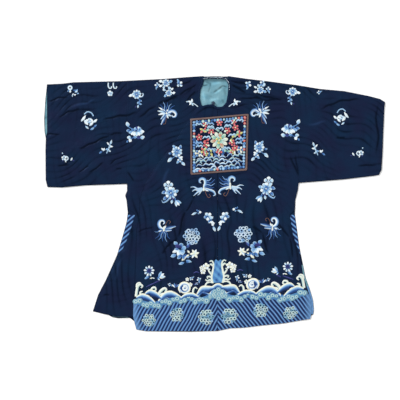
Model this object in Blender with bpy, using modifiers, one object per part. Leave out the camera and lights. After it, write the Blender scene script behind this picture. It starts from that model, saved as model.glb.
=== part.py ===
"""Side-fastening silk robe with wide straight sleeves, laid flat on its back.

Blender units are metres and +Z is up. Sizes in the tables below are millimetres.
+X runs to the viewer's right and +Y towards the neck, from the middle of the robe's box.
The floor is z = 0. Right and left are the wearer's, so the right sleeve lies at -X.
"""

import math
from collections import namedtuple

import bmesh
import bpy
import numpy as np

ROBE = "side_fastening_robe"
MM = 0.001

# Cloth and the order in which it is stacked, as heights of each layer's upper side
WALL = 1.0
GAP = 0.3
BACK_TOP = WALL
LINING_TOP = BACK_TOP + GAP + WALL
FRONT_TOP = LINING_TOP + GAP + WALL
OVERLAP_TOP = FRONT_TOP + GAP + WALL
SEAM_TOP = BACK_TOP + GAP + WALL
BADGE_GAP = 0.5
MERGE_DISTANCE = 0.00001

# Straight seams, as their x
RIGHT_ARMHOLE = -363.0
LEFT_ARMHOLE = 357.0
CENTRE_SEAM = 17.0
UNDERLAP_INNER_EDGE = -45.0

# How far the cloth takes to come down at an edge
SIDE_DROP = 22.0
HEM_DROP = 44.0
FLOOR_DROP = 45.0
COVER_FADE = 40.0
SHOULDER_FADE = 45.0
NECK_CLEAR = 78.0
NECK_FADE = 36.0
CENTRE_RAMP = 29.0

# Ranges over which a blend runs from 0 to 1
VENT_LIFT = (350.0, 392.0)
SIDE_SEAM_TOP = (95.0, 70.0)
SIDE_SEAM_END = (-45.0, -15.0)
BACK_NECK_Y = (516.0, 523.0)
BACK_NECK_RIGHT = (-38.0, -27.0)
BACK_NECK_LEFT = (58.0, 47.0)
OVERLAP_NECK_Y = (455.0, 432.0)
OVERLAP_NECK_LEFT = (26.0, -4.0)

# Trims
BINDING_WIDTH = 10.0
BADGE_RIBBON_WIDTH = 7.0
LOOP_RADIUS = 6.0
LOOP_CORD_RADIUS = 1.6
KNOT_RADIUS = 3.8
KNOT_HALF_HEIGHT = 2.9

# Segments of the grids
SLEEVE_COLUMNS = 15
SLEEVE_FRONT_ROWS = 18
SLEEVE_BACK_ROWS = 4
BODY_COLUMNS = 15
BODY_FRONT_ROWS = 44
BODY_BACK_ROWS = 12
FOLD_SEGMENTS = 4
OVERLAP_COLUMNS = 14
OVERLAP_ROWS = 38

Point = namedtuple("Point", "x y")
Fold = namedtuple("Fold", "x0 y0 x1 y1 width height")


def line(*rows):
    """An edge line from rows of x and y."""
    return [Point(*row) for row in rows]


# The middle of the robe's box, which is set at the model's origin
MIDDLE = Point(5.7, -1.4)

# The shoulder fold, from cuff to cuff
SHOULDER = line(
    (-699, 500), (-636, 503), (-586, 509), (-384, 514), (-309, 518), (-208, 523), (-107, 531), (-42, 535),
    (61, 535), (145, 523), (246, 511), (357, 496), (447, 481), (548, 472), (649, 452), (699, 439), (720, 426),
)

# Cuffs, from the shoulder fold down. The back layer stands out past the front one.
RIGHT_CUFF_FRONT = line((-699, 500), (-698, 300), (-703, 280), (-705, 225), (-704, 99), (-697, 69))
RIGHT_CUFF_BACK = line((-699, 500), (-706, 435), (-711, 351), (-709, 300), (-702, 262), (-702, 99), (-697, 69))
LEFT_CUFF = line((720, 426), (717, 401), (713, 309), (709, 204), (705, 141), (695, 120))

# Lower edges of the sleeves, from cuff to armhole
RIGHT_UNDERARM = line((-697, 69), (-636, 67), (-536, 76), (-414, 80), (RIGHT_ARMHOLE, 82))
LEFT_UNDERARM = line((695, 120), (674, 116), (615, 109), (548, 101), (447, 93), (LEFT_ARMHOLE, 86))

# Round the neck hole, clockwise from the right shoulder
NECK = line(
    (-41, 522), (-10, 524), (25, 524), (52, 521), (63, 497), (60, 458), (54, 424), (38, 406), (17, 404),
    (-4, 416), (-28, 414), (-50, 408), (-58, 440), (-55, 475), (-44, 500),
)
NECK_MIDDLE = Point(2, 465)
NECK_TO_RIGHT_FRONT = line((-42, 535), (-40, 512), (-49, 494), (-56, 475), (-59, 450), (-51, 409), (-48, 396))
NECK_TO_LEFT_FRONT = line((61, 535), (64, 497), (61, 457), (54, 422), (38, 404), (17, 402))
OVERLAP_NECK = line((-49, 407), (-28, 413), (-4, 415), (17, 403))

# Side edges from the underarm to the hem
RIGHT_SIDE_FRONT = line(
    (RIGHT_ARMHOLE, 79), (RIGHT_ARMHOLE, 52), (-371, 34), (-365, 12), (-362, -20), (-329, -44), (-346, -103),
    (-366, -158), (-383, -195), (-403, -212), (-414, -237), (-452, -321), (-485, -384), (-507, -453),
)
RIGHT_SIDE_BACK = line(
    (RIGHT_ARMHOLE, 79), (RIGHT_ARMHOLE, -12), (-360, -36), (-364, -74), (-380, -132),
    (-399, -195), (-407, -222), (-430, -350), (-442, -467),
)
LEFT_SIDE_FRONT = line(
    (LEFT_ARMHOLE, 84), (355, 57), (344, 15), (342, -26), (320, -48), (332, -126), (349, -178),
    (363, -212), (376, -300), (390, -346), (408, -400), (412, -455), (406, -484),
)
LEFT_SIDE_BACK = line(
    (LEFT_ARMHOLE, 84), (355, 57), (344, 15), (342, -48), (351, -111), (359, -174), (376, -258),
    (386, -310), (404, -358), (418, -405), (422, -447), (419, -466),
)

# The overlap's curved closing edge from the neck to the underarm, then its free edge to the hem
CLOSING_EDGE = line(
    (-49, 407), (-69, 403), (-89, 378), (-100, 351), (-124, 321), (-145, 284), (-166, 254), (-204, 204),
    (-250, 145), (-288, 82), (-310, 15), (-312, -52), (-323, -111), (-327, -220), (-331, -334),
    (-336, -420), (-338, -472), (-324, -529),
)

# Hems, from the viewer's left to right
UNDERLAP_HEM = line((-507, -453), (-460, -464), (-410, -474), (-338, -477), (UNDERLAP_INNER_EDGE, -478))
RIGHT_BACK_HEM = line((-442, -467), (-426, -477), (-401, -482), (-350, -481), (-300, -520), (CENTRE_SEAM, -526))
OVERLAP_HEM = line((-324, -529), (-284, -536), (-99, -538), (CENTRE_SEAM, -535))
LEFT_FRONT_HEM = line((CENTRE_SEAM, -535), (69, -524), (132, -521), (195, -513), (296, -503), (406, -484))
LEFT_BACK_HEM = line((CENTRE_SEAM, -526), (132, -512), (296, -494), (400, -476), (419, -466))

# The lining's strips, each between a side nearer the middle and one nearer the edge
NECK_LINING_SIDES = (line((-74, 392), (-62, 528)), line((78, 390), (72, 528)))
HEM_LINING_SIDES = (line((-424, -474), (-424, -462)), line((-356, -479), (-356, -462)))
CUFF_LINING_END = 262.0
CUFF_LINING_TOP = 488.0
CUFF_LINING_INNER = -684.0
CUFF_LINING_INSET = 1.5
VENT_LINING_TOP = -174.0
VENT_LINING_WIDTH = 15.0
LINING_INSET = 1.0

# The middle of the button, whose loop is sewn to the binding's inner edge
BUTTON = Point(-1, 420.5)

# Outer corners of the badge's ribbon, clockwise from the wearer's upper right
BADGE_CORNERS = line((-97, 355), (147, 376), (141, 139), (-96, 120))

# The largest folds of the upper cloth, each a soft ridge along a line
FOLDS = [
    Fold(x0=-640, y0=196, x1=-395, y1=304, width=30, height=4.5),
    Fold(x0=-500, y0=322, x1=-300, y1=398, width=28, height=4.0),
    Fold(x0=-690, y0=340, x1=-545, y1=412, width=27, height=3.5),
    Fold(x0=-688, y0=425, x1=-590, y1=446, width=24, height=2.5),
    Fold(x0=-690, y0=280, x1=-630, y1=292, width=22, height=2.0),
    Fold(x0=-560, y0=118, x1=-440, y1=182, width=26, height=3.0),
    Fold(x0=-186, y0=440, x1=-100, y1=486, width=26, height=3.5),
    Fold(x0=-332, y0=172, x1=-314, y1=104, width=20, height=2.5),
    Fold(x0=-100, y0=30, x1=-122, y1=-60, width=28, height=3.0),
    Fold(x0=-122, y0=-60, x1=-172, y1=-176, width=30, height=4.5),
    Fold(x0=-172, y0=-176, x1=-228, y1=-232, width=28, height=3.0),
    Fold(x0=-300, y0=-112, x1=-240, y1=-100, width=22, height=2.0),
    Fold(x0=-400, y0=-250, x1=-446, y1=-420, width=24, height=2.5),
    Fold(x0=104, y0=492, x1=176, y1=462, width=24, height=3.0),
    Fold(x0=110, y0=432, x1=290, y1=440, width=26, height=3.0),
    Fold(x0=156, y0=-92, x1=204, y1=-130, width=26, height=3.0),
    Fold(x0=204, y0=-130, x1=238, y1=-212, width=26, height=3.0),
    Fold(x0=276, y0=-82, x1=316, y1=-160, width=26, height=3.5),
    Fold(x0=316, y0=-160, x1=338, y1=-240, width=24, height=3.0),
    Fold(x0=340, y0=200, x1=348, y1=100, width=24, height=2.5),
    Fold(x0=440, y0=396, x1=620, y1=440, width=28, height=3.5),
    Fold(x0=490, y0=268, x1=600, y1=284, width=26, height=3.0),
    Fold(x0=580, y0=156, x1=690, y1=172, width=24, height=2.5),
]

# Colours of the cloth and trims, as linear red, green and blue
NAVY_SILK = (0.009, 0.020, 0.050)
TEAL_LINING = (0.20, 0.36, 0.45)
BADGE_SILK = (0.05, 0.09, 0.16)
BROWN_RIBBON = (0.16, 0.08, 0.06)
NAVY_CORD = (0.006, 0.012, 0.030)


def clear_scene():
    for item in list(bpy.data.objects):
        bpy.data.objects.remove(item)


def robe_collection():
    collection = bpy.data.collections.new(ROBE)
    bpy.context.scene.collection.children.link(collection)
    return collection


def cloth_material(name, colour, roughness):
    material = bpy.data.materials.new(name)
    material.use_nodes = True
    shader = material.node_tree.nodes["Principled BSDF"]
    shader.inputs["Base Color"].default_value = (*colour, 1.0)
    shader.inputs["Roughness"].default_value = roughness
    shader.inputs["Metallic"].default_value = 0.0
    return material


def smooth(start, end, value):
    """0 at start, 1 at end, with an eased rise between."""
    share = min(max((value - start) / (end - start), 0.0), 1.0)
    return share * share * (3.0 - 2.0 * share)


def at_share(edge, share):
    """The point at that share of an edge line's length."""
    points = np.array(edge, float)
    steps = np.hypot(*np.diff(points, axis=0).T)
    reached = np.concatenate(([0.0], np.cumsum(steps))) / steps.sum()
    return np.array([np.interp(share, reached, points[:, axis]) for axis in (0, 1)])


def x_of(edge, y):
    """The x of a line that runs from high y to low y."""
    points = np.array(edge, float)[::-1]
    return float(np.interp(y, points[:, 1], points[:, 0]))


def y_of(edge, x):
    """The y of a line that runs from low x to high x."""
    points = np.array(edge, float)
    return float(np.interp(x, points[:, 0], points[:, 1]))


def between(edge, x_low, x_high):
    """The stretch of a rising-x line between two x values, with its ends worked out."""
    inside = [point for point in edge if x_low < point.x < x_high]
    return [Point(x_low, y_of(edge, x_low)), *inside, Point(x_high, y_of(edge, x_high))]


def moved(edge, dx, dy):
    return [Point(point.x + dx, point.y + dy) for point in edge]


def patch(near, far, low, high):
    """A flat patch inside four edge lines. near and far are its sides at u 0 and 1, both read
    from v 0 to 1, and low and high are its ends at v 0 and 1, both read from u 0 to 1."""
    corners = [np.array(point) for point in (low[0], low[-1], high[0], high[-1])]

    def place(u, v):
        sides = (1 - u) * at_share(near, v) + u * at_share(far, v)
        ends = (1 - v) * at_share(low, u) + v * at_share(high, u)
        lower = (1 - u) * corners[0] + u * corners[1]
        upper = (1 - u) * corners[2] + u * corners[3]
        return sides + ends - (1 - v) * lower - v * upper

    return place


def relief(x, y):
    """Height of the large folds over the flat cloth."""
    spot = np.array((x, y))
    raised = 0.0
    for fold in FOLDS:
        start = np.array((fold.x0, fold.y0))
        run = np.array((fold.x1, fold.y1)) - start
        share = min(max(float((spot - start) @ run / (run @ run)), 0.0), 1.0)
        away = float(np.linalg.norm(spot - start - share * run))
        taper = 0.35 + 0.65 * math.sin(math.pi * share)
        raised = max(raised, fold.height * taper * math.exp(-((away / fold.width) ** 2)))
    from_neck = math.hypot(x - NECK_MIDDLE.x, y - NECK_MIDDLE.y)
    below_shoulder = smooth(0.0, SHOULDER_FADE, y_of(SHOULDER, x) - y)
    return raised * below_shoulder * smooth(NECK_CLEAR, NECK_CLEAR + NECK_FADE, from_neck)


def located(x, y, z):
    """A point of the tables in metres from the model's origin."""
    return [float(x - MIDDLE.x) * MM, float(y - MIDDLE.y) * MM, float(z) * MM]


def wall(name, columns, rows, place, material, collection, closed=False):
    """A wall of cloth. place(column, row) gives its outer side, and it is thickened inwards."""
    form = bmesh.new()
    bmesh.ops.create_grid(form, x_segments=columns, y_segments=rows, size=0.5)
    for vertex in form.verts:
        column = round((vertex.co.x + 0.5) * columns)
        row = round((vertex.co.y + 0.5) * rows)
        vertex.co = located(*place(column, row))
    if closed:
        bmesh.ops.remove_doubles(form, verts=form.verts, dist=MERGE_DISTANCE)
    mesh = bpy.data.meshes.new(name)
    form.to_mesh(mesh)
    form.free()
    mesh.materials.append(material)
    mesh.shade_smooth()
    piece = bpy.data.objects.new(name, mesh)
    collection.objects.link(piece)
    solid = piece.modifiers.new("Cloth thickness", "SOLIDIFY")
    solid.thickness = WALL * MM
    solid.offset = -1.0
    solid.use_even_offset = True
    return piece


def corner_share(edge):
    """The share of a three-point line's length at its middle point."""
    first = math.dist(edge[0], edge[1])
    return first / (first + math.dist(edge[1], edge[2]))


def over_fold(top, fold_step):
    """A point round the shoulder fold from the front's upper side to the back's lower side."""
    radius = FRONT_TOP / 2
    turn = math.pi * fold_step / FOLD_SEGMENTS
    return top[0], top[1] + radius * math.sin(turn), radius * (1 + math.cos(turn))


def folded_body(name, front, back, corner, front_height, material, collection):
    """A body length in one piece: the front from its hem up, over the shoulder, and down the back.
    corner is the share of the back's length at which the back neck meets the centre seam."""
    back_shares = [0.0, *np.linspace(corner, 1.0, BODY_BACK_ROWS)]

    def place(column, row):
        u = column / BODY_COLUMNS
        if row <= BODY_FRONT_ROWS:
            x, y = front(u, row / BODY_FRONT_ROWS)
            return x, y, front_height(x, y)
        if row < BODY_FRONT_ROWS + FOLD_SEGMENTS:
            return over_fold(front(u, 1.0), row - BODY_FRONT_ROWS)
        x, y = back(u, back_shares[row - BODY_FRONT_ROWS - FOLD_SEGMENTS])
        return x, y, 0.0

    rows = BODY_FRONT_ROWS + FOLD_SEGMENTS + BODY_BACK_ROWS
    return wall(name, BODY_COLUMNS, rows, place, material, collection)


def sleeve(name, front, back, material, collection):
    """A flattened tube, open at the cuff and the armhole. Its rings run up the front and down the back."""
    front_end = SLEEVE_FRONT_ROWS
    back_start = front_end + FOLD_SEGMENTS
    back_end = back_start + SLEEVE_BACK_ROWS
    rows = back_end + FOLD_SEGMENTS

    def place(column, row):
        u = column / SLEEVE_COLUMNS
        if row <= front_end:
            x, y = front(u, row / front_end)
            edges = smooth(0.0, 1.5, min(row, front_end - row))
            return x, y, FRONT_TOP + relief(x, y) * edges
        if row < back_start:
            return over_fold(front(u, 1.0), row - front_end)
        if row <= back_end:
            x, y = back(u, (row - back_start) / SLEEVE_BACK_ROWS)
            return x, y, 0.0
        x, y, z = over_fold((0.0, 0.0), row - back_end)
        seam = front(u, 0.0)
        return seam[0], seam[1] - y, FRONT_TOP - z

    return wall(name, SLEEVE_COLUMNS, rows, place, material, collection, closed=True)


def make_sleeves(silk, collection):
    fold = FRONT_TOP / 2
    right_shoulder = moved(between(SHOULDER, -699, RIGHT_ARMHOLE), -GAP / 2, -fold)
    right_seam = moved(RIGHT_UNDERARM, -GAP / 2, fold)
    right_armhole = [right_seam[-1], right_shoulder[-1]]
    right_front_cuff = moved(RIGHT_CUFF_FRONT[::-1], -GAP / 2, 0.0)
    right_front_cuff[0] = right_seam[0]
    right_front_cuff[-1] = right_shoulder[0]
    right_back_cuff = moved(RIGHT_CUFF_BACK, -GAP / 2, 0.0)
    right_back_cuff[0] = right_shoulder[0]
    right_back_cuff[-1] = right_seam[0]
    sleeve(
        "right_sleeve",
        patch(right_front_cuff, right_armhole, right_seam, right_shoulder),
        patch(right_back_cuff, right_armhole[::-1], right_shoulder, right_seam),
        silk,
        collection,
    )
    left_shoulder = moved(between(SHOULDER, LEFT_ARMHOLE, 720), GAP / 2, -fold)
    left_seam = moved(LEFT_UNDERARM[::-1], GAP / 2, fold)
    left_armhole = [left_seam[0], left_shoulder[0]]
    left_cuff = moved(LEFT_CUFF[::-1], GAP / 2, 0.0)
    left_cuff[0] = left_seam[-1]
    left_cuff[-1] = left_shoulder[-1]
    sleeve(
        "left_sleeve",
        patch(left_armhole, left_cuff, left_seam, left_shoulder),
        patch(left_armhole[::-1], left_cuff[::-1], left_shoulder, left_seam),
        silk,
        collection,
    )


def side_seam_drop(x, y, edge, direction):
    """How far the front comes down to the back along the closed side seam under the arm."""
    inward = direction * (x - x_of(edge, y))
    reach = smooth(*SIDE_SEAM_TOP, y) * smooth(*SIDE_SEAM_END, y)
    return (FRONT_TOP - SEAM_TOP) * smooth(SIDE_DROP, 0.0, inward) * reach


def right_front_height(x, y):
    """The right front is flat where the overlap covers it, and its hem corner reaches the floor."""
    uncovered = smooth(0.0, COVER_FADE, x_of(CLOSING_EDGE, y) - x)
    height = FRONT_TOP + relief(x, y) * uncovered - side_seam_drop(x, y, RIGHT_SIDE_FRONT, 1)
    beyond_back = x_of(RIGHT_SIDE_BACK, y) - x
    if y < RIGHT_SIDE_BACK[-3].y:
        height -= (FRONT_TOP - WALL) * min(max(beyond_back / FLOOR_DROP, 0.0), 1.0)
    return max(height, WALL)


def left_front_height(x, y):
    height = FRONT_TOP + relief(x, y) - side_seam_drop(x, y, LEFT_SIDE_FRONT, -1)
    above_hem = y - y_of(LEFT_FRONT_HEM, x)
    off_vent = 1.0 - smooth(*VENT_LIFT, x)
    return height - (FRONT_TOP - SEAM_TOP) * smooth(HEM_DROP, 0.0, above_hem) * off_vent


def overlap_height(x, y):
    """The overlap lies on the right front, and comes down to the left front and to its own hem."""
    ramp = min(max((x - (CENTRE_SEAM - CENTRE_RAMP)) / CENTRE_RAMP, 0.0), 1.0)
    flat = OVERLAP_TOP - (OVERLAP_TOP - FRONT_TOP) * ramp
    above_hem = y - y_of(OVERLAP_HEM, x)
    return flat + relief(x, y) - (flat - SEAM_TOP) * smooth(HEM_DROP, 0.0, above_hem)


def make_bodies(silk, collection):
    fold = FRONT_TOP / 2
    half = GAP / 2
    right_top = moved(between(SHOULDER, RIGHT_ARMHOLE + half, -42), 0.0, -fold)
    right_corner = right_top[-1]
    right_outer = [right_top[0], *moved(RIGHT_SIDE_FRONT, half, 0.0)][::-1]
    right_inner = [right_corner, *NECK_TO_RIGHT_FRONT[1:], UNDERLAP_HEM[-1]][::-1]
    underlap_hem = [right_outer[0], *UNDERLAP_HEM[1:]]
    right_back_outer = [right_top[0], *moved(RIGHT_SIDE_BACK, half, 0.0)]
    right_back_end = Point(CENTRE_SEAM - half, RIGHT_BACK_HEM[-1].y)
    right_back_hem = [right_back_outer[-1], *RIGHT_BACK_HEM[1:-1], right_back_end]
    right_back_inner = [right_corner, Point(CENTRE_SEAM - half, right_corner.y), right_back_end]
    folded_body(
        "right_body",
        patch(right_outer, right_inner, underlap_hem, right_top),
        patch(right_back_outer, right_back_inner, right_top, right_back_hem),
        corner_share(right_back_inner),
        right_front_height,
        silk,
        collection,
    )
    left_top = moved(between(SHOULDER, 61, LEFT_ARMHOLE - half), 0.0, -fold)
    left_corner = left_top[0]
    left_outer = [left_top[-1], *moved(LEFT_SIDE_FRONT, -half, 0.0)][::-1]
    centre_top = Point(CENTRE_SEAM + half, NECK_TO_LEFT_FRONT[-1].y)
    centre_hem = Point(CENTRE_SEAM + half, LEFT_FRONT_HEM[0].y)
    left_inner = [left_corner, *NECK_TO_LEFT_FRONT[1:-1], centre_top, centre_hem][::-1]
    left_hem = [centre_hem, *LEFT_FRONT_HEM[1:-1], left_outer[0]]
    left_back_outer = [left_top[-1], *moved(LEFT_SIDE_BACK, -half, 0.0)]
    left_back_end = Point(CENTRE_SEAM + half, LEFT_BACK_HEM[0].y)
    left_back_hem = [left_back_end, *LEFT_BACK_HEM[1:-1], left_back_outer[-1]]
    left_back_inner = [left_corner, Point(CENTRE_SEAM + half, left_corner.y), left_back_end]
    folded_body(
        "left_body",
        patch(left_inner, left_outer, left_hem, left_top),
        patch(left_back_inner, left_back_outer, left_top, left_back_hem),
        corner_share(left_back_inner),
        left_front_height,
        silk,
        collection,
    )


def make_overlap(silk, collection):
    half = GAP / 2
    neck = [*OVERLAP_NECK[:-1], Point(CENTRE_SEAM - half, OVERLAP_NECK[-1].y)]
    hem = [*OVERLAP_HEM[:-1], Point(CENTRE_SEAM - half, OVERLAP_HEM[-1].y)]
    flat = patch(CLOSING_EDGE[::-1], [hem[-1], neck[-1]], hem, neck)

    def place(column, row):
        x, y = flat(column / OVERLAP_COLUMNS, row / OVERLAP_ROWS)
        return x, y, overlap_height(x, y)

    wall("overlap", OVERLAP_COLUMNS, OVERLAP_ROWS, place, silk, collection)


def flat_strip(name, near, far, columns, rows, top, material, collection):
    """A level piece between two lines that are read from v 0 to 1."""
    flat = patch(near, far, [near[0], far[0]], [near[-1], far[-1]])
    wall(name, columns, rows, lambda c, r: (*flat(c / columns, r / rows), top), material, collection)


def make_linings(lining, collection):
    """The lining, only where it shows: in the neck, at one cuff, at one vent and below one hem."""
    flat_strip("neck_lining", *NECK_LINING_SIDES, 4, 4, LINING_TOP, lining, collection)
    flat_strip("hem_lining", *HEM_LINING_SIDES, 3, 1, LINING_TOP, lining, collection)
    cuff = [point for point in RIGHT_CUFF_BACK[::-1] if CUFF_LINING_END < point.y < CUFF_LINING_TOP]
    cuff_outer = [
        Point(RIGHT_CUFF_BACK[4].x + CUFF_LINING_INSET, CUFF_LINING_END),
        *moved(cuff, CUFF_LINING_INSET, 0.0),
        Point(RIGHT_CUFF_BACK[0].x + CUFF_LINING_INSET, CUFF_LINING_TOP),
    ]
    cuff_inner = line((CUFF_LINING_INNER, CUFF_LINING_END), (CUFF_LINING_INNER, CUFF_LINING_TOP))
    flat_strip("cuff_lining", cuff_outer, cuff_inner, 1, 8, LINING_TOP, lining, collection)
    vent = [point for point in LEFT_SIDE_BACK[::-1] if point.y < VENT_LINING_TOP]
    vent_outer = moved(vent, -LINING_INSET, LINING_INSET)
    vent_inner = moved(vent_outer, -VENT_LINING_WIDTH, 0.0)
    flat_strip("vent_lining", vent_inner, vent_outer, 1, 10, LINING_TOP, lining, collection)


def ring(name, inner, outer, top, material, collection):
    """A level or sloping band between two closed loops, with matching points read clockwise."""
    count = len(inner)

    def place(column, row):
        x, y = inner[column % count] if row == 0 else outer[column % count]
        return x, y, top(x, y)

    return wall(name, count, 1, place, material, collection, closed=True)


def divided(corners, steps):
    """A closed loop with each side cut into steps."""
    loop = []
    for index, corner in enumerate(corners):
        following = corners[(index + 1) % len(corners)]
        for step in range(steps):
            share = step / steps
            loop.append(Point(corner[0] + share * (following[0] - corner[0]),
                              corner[1] + share * (following[1] - corner[1])))
    return loop


def widened(loop, distance):
    """A clockwise loop moved outwards by a distance."""
    wide = []
    for index, point in enumerate(loop):
        before = loop[index - 1]
        after = loop[(index + 1) % len(loop)]
        along = np.array((after[0] - before[0], after[1] - before[1]), float)
        along /= np.linalg.norm(along)
        wide.append(Point(point[0] - along[1] * distance, point[1] + along[0] * distance))
    return wide


def binding_top(x, y):
    """The binding steps up from the back neck to the fronts, and again on to the overlap."""
    on_back = smooth(*BACK_NECK_Y, y) * smooth(*BACK_NECK_RIGHT, x) * smooth(*BACK_NECK_LEFT, x)
    on_overlap = smooth(*OVERLAP_NECK_Y, y) * smooth(*OVERLAP_NECK_LEFT, x)
    lowest = FRONT_TOP - (FRONT_TOP - LINING_TOP) * on_back
    return lowest + GAP + WALL + (OVERLAP_TOP - FRONT_TOP) * on_overlap


def make_neck_binding(silk, collection):
    edge = divided(NECK, 3)
    inner = widened(edge, -0.5)
    ring("neck_binding", inner, widened(inner, BINDING_WIDTH), binding_top, silk, collection)


def badge_top(x, y):
    cloth = overlap_height(x, y) - relief(x, y) if x < CENTRE_SEAM else FRONT_TOP
    return cloth + BADGE_GAP + WALL


def make_badge(badge_silk, ribbon_silk, collection):
    """The square badge on the chest, and the ribbon sewn round it."""
    steps = 10
    outer = np.array(BADGE_CORNERS, float)
    middle = outer.mean(axis=0)
    sides = outer - middle
    inset = sides * (1 - BADGE_RIBBON_WIDTH / np.abs(sides))
    ribbon_inner = middle + inset
    badge = middle + inset * (1 - GAP / np.abs(inset))
    flat = patch([badge[3], badge[0]], [badge[2], badge[1]], [badge[3], badge[2]], [badge[0], badge[1]])

    def place(column, row):
        x, y = flat(column / steps, row / steps)
        return x, y, badge_top(x, y)

    wall("badge", steps, steps, place, badge_silk, collection)
    ring(
        "badge_ribbon",
        divided(ribbon_inner, steps),
        divided(outer, steps),
        badge_top,
        ribbon_silk,
        collection,
    )


def make_button(cord, collection):
    """A knot button held in its loop at the front of the neck."""
    x, y = BUTTON
    seat = binding_top(x, y) + GAP
    bpy.ops.mesh.primitive_torus_add(
        major_segments=20,
        minor_segments=8,
        major_radius=LOOP_RADIUS * MM,
        minor_radius=LOOP_CORD_RADIUS * MM,
        location=located(x, y, seat + LOOP_CORD_RADIUS),
    )
    loop = bpy.context.object
    bpy.ops.mesh.primitive_uv_sphere_add(
        segments=14,
        ring_count=8,
        radius=KNOT_RADIUS * MM,
        location=located(x, y, seat + KNOT_HALF_HEIGHT),
    )
    knot = bpy.context.object
    knot.scale.z = KNOT_HALF_HEIGHT / KNOT_RADIUS
    for piece, name in ((loop, "button_loop"), (knot, "knot_button")):
        piece.name = name
        piece.data.name = name
        piece.data.materials.append(cord)
        piece.data.shade_smooth()
        for owner in list(piece.users_collection):
            owner.objects.unlink(piece)
        collection.objects.link(piece)


def main():
    clear_scene()
    collection = robe_collection()
    silk = cloth_material("navy silk satin", NAVY_SILK, 0.45)
    lining = cloth_material("teal silk lining", TEAL_LINING, 0.55)
    badge_silk = cloth_material("embroidered badge silk", BADGE_SILK, 0.5)
    ribbon_silk = cloth_material("brown woven ribbon", BROWN_RIBBON, 0.6)
    cord = cloth_material("navy silk cord", NAVY_CORD, 0.6)
    make_bodies(silk, collection)
    make_sleeves(silk, collection)
    make_overlap(silk, collection)
    make_linings(lining, collection)
    make_neck_binding(silk, collection)
    make_badge(badge_silk, ribbon_silk, collection)
    make_button(cord, collection)


main()
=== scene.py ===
"""The looks of a side-fastening silk robe laid flat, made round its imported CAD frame.

Tables and lengths are millimetres, with +X to the viewer's right and +Y towards the neck, and
are moved to the middle of the robe's box at the end. Right and left are the wearer's, so the
right sleeve lies at -X.
"""

import math
import random
from collections import namedtuple

import bmesh
import bpy
import numpy as np
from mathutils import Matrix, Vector


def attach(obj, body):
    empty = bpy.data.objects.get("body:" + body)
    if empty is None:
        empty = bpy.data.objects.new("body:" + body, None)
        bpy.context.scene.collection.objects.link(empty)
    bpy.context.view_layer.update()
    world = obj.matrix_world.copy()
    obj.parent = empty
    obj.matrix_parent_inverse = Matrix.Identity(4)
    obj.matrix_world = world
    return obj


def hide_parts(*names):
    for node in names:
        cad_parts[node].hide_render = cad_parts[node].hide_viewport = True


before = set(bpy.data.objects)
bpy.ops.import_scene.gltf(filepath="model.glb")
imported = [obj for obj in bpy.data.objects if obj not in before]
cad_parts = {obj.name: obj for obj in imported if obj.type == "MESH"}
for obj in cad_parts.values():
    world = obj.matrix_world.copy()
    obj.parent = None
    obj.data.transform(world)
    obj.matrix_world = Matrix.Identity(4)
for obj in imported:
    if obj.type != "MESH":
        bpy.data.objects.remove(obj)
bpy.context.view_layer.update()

bl_info = {
    "name": "Side-fastening robe",
    "version": (1, 0, 0),
    "blender": (4, 5, 0),
    "location": "View3D > Sidebar > Robe",
    "description": "Silk, embroidery and trims of a robe laid flat",
    "category": "Object",
}

MM = 0.001

# Cloth and the order in which it is stacked, as heights of each layer's upper side
WALL = 1.0
GAP = 0.3
BACK_TOP = WALL
LINING_TOP = BACK_TOP + GAP + WALL
FRONT_TOP = LINING_TOP + GAP + WALL
OVERLAP_TOP = FRONT_TOP + GAP + WALL
SEAM_TOP = BACK_TOP + GAP + WALL
BADGE_GAP = 0.5
MERGE_DISTANCE = 0.00001

# Straight seams, as their x
RIGHT_ARMHOLE = -363.0
LEFT_ARMHOLE = 357.0
CENTRE_SEAM = 17.0
UNDERLAP_INNER_EDGE = -45.0

# How far the cloth takes to come down at an edge, and how far its soft rise takes to start
SIDE_DROP = 22.0
HEM_DROP = 44.0
FLOOR_DROP = 45.0
COVER_FADE = 40.0
SHOULDER_FADE = 45.0
NECK_CLEAR = 78.0
NECK_FADE = 36.0
CREASE_NECK_CLEAR = 66.0
CREASE_NECK_FADE = 18.0
CENTRE_RAMP = 29.0
EDGE_FADE = 20.0
SOFT_RISE = 1.0
RUMPLE = 1.9
CREASE_GAIN = 1.7
CREASE_NARROWING = 0.66
SHADE_DEPTH = 2.8

# Ranges over which a blend runs from 0 to 1
VENT_LIFT = (350.0, 392.0)
SIDE_SEAM_TOP = (95.0, 70.0)
SIDE_SEAM_END = (-45.0, -15.0)
BACK_NECK_Y = (516.0, 523.0)
BACK_NECK_RIGHT = (-38.0, -27.0)
BACK_NECK_LEFT = (58.0, 47.0)
OVERLAP_NECK_Y = (455.0, 432.0)
OVERLAP_NECK_LEFT = (26.0, -4.0)

Point = namedtuple("Point", "x y")
Fold = namedtuple("Fold", "x0 y0 x1 y1 width height")


def line(*rows):
    """An edge line from rows of x and y."""
    return [Point(*row) for row in rows]


def folds(*rows):
    """Folds from rows of x0, y0, x1, y1, width and height. A negative height is a trough."""
    return [Fold(*row) for row in rows]


# The middle of the robe's box, which is the frame's origin
MIDDLE = Point(5.7, -1.4)

# The shoulder fold, from cuff to cuff
SHOULDER = line(
    (-699, 500), (-636, 503), (-586, 509), (-384, 514), (-309, 518), (-208, 523), (-107, 531), (-42, 535),
    (61, 535), (145, 523), (246, 511), (357, 496), (447, 481), (548, 472), (649, 452), (699, 439), (720, 426),
)

# Cuffs, from the shoulder fold down. The back layer stands out past the front one.
RIGHT_CUFF_FRONT = line((-699, 500), (-698, 300), (-703, 280), (-705, 225), (-704, 99), (-697, 69))
RIGHT_CUFF_BACK = line(
    (-699, 500), (-706, 435), (-711, 351), (-709, 300), (-702, 262), (-702, 99), (-697, 69),
)
LEFT_CUFF = line((720, 426), (717, 401), (713, 309), (709, 204), (705, 141), (695, 120))

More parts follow.
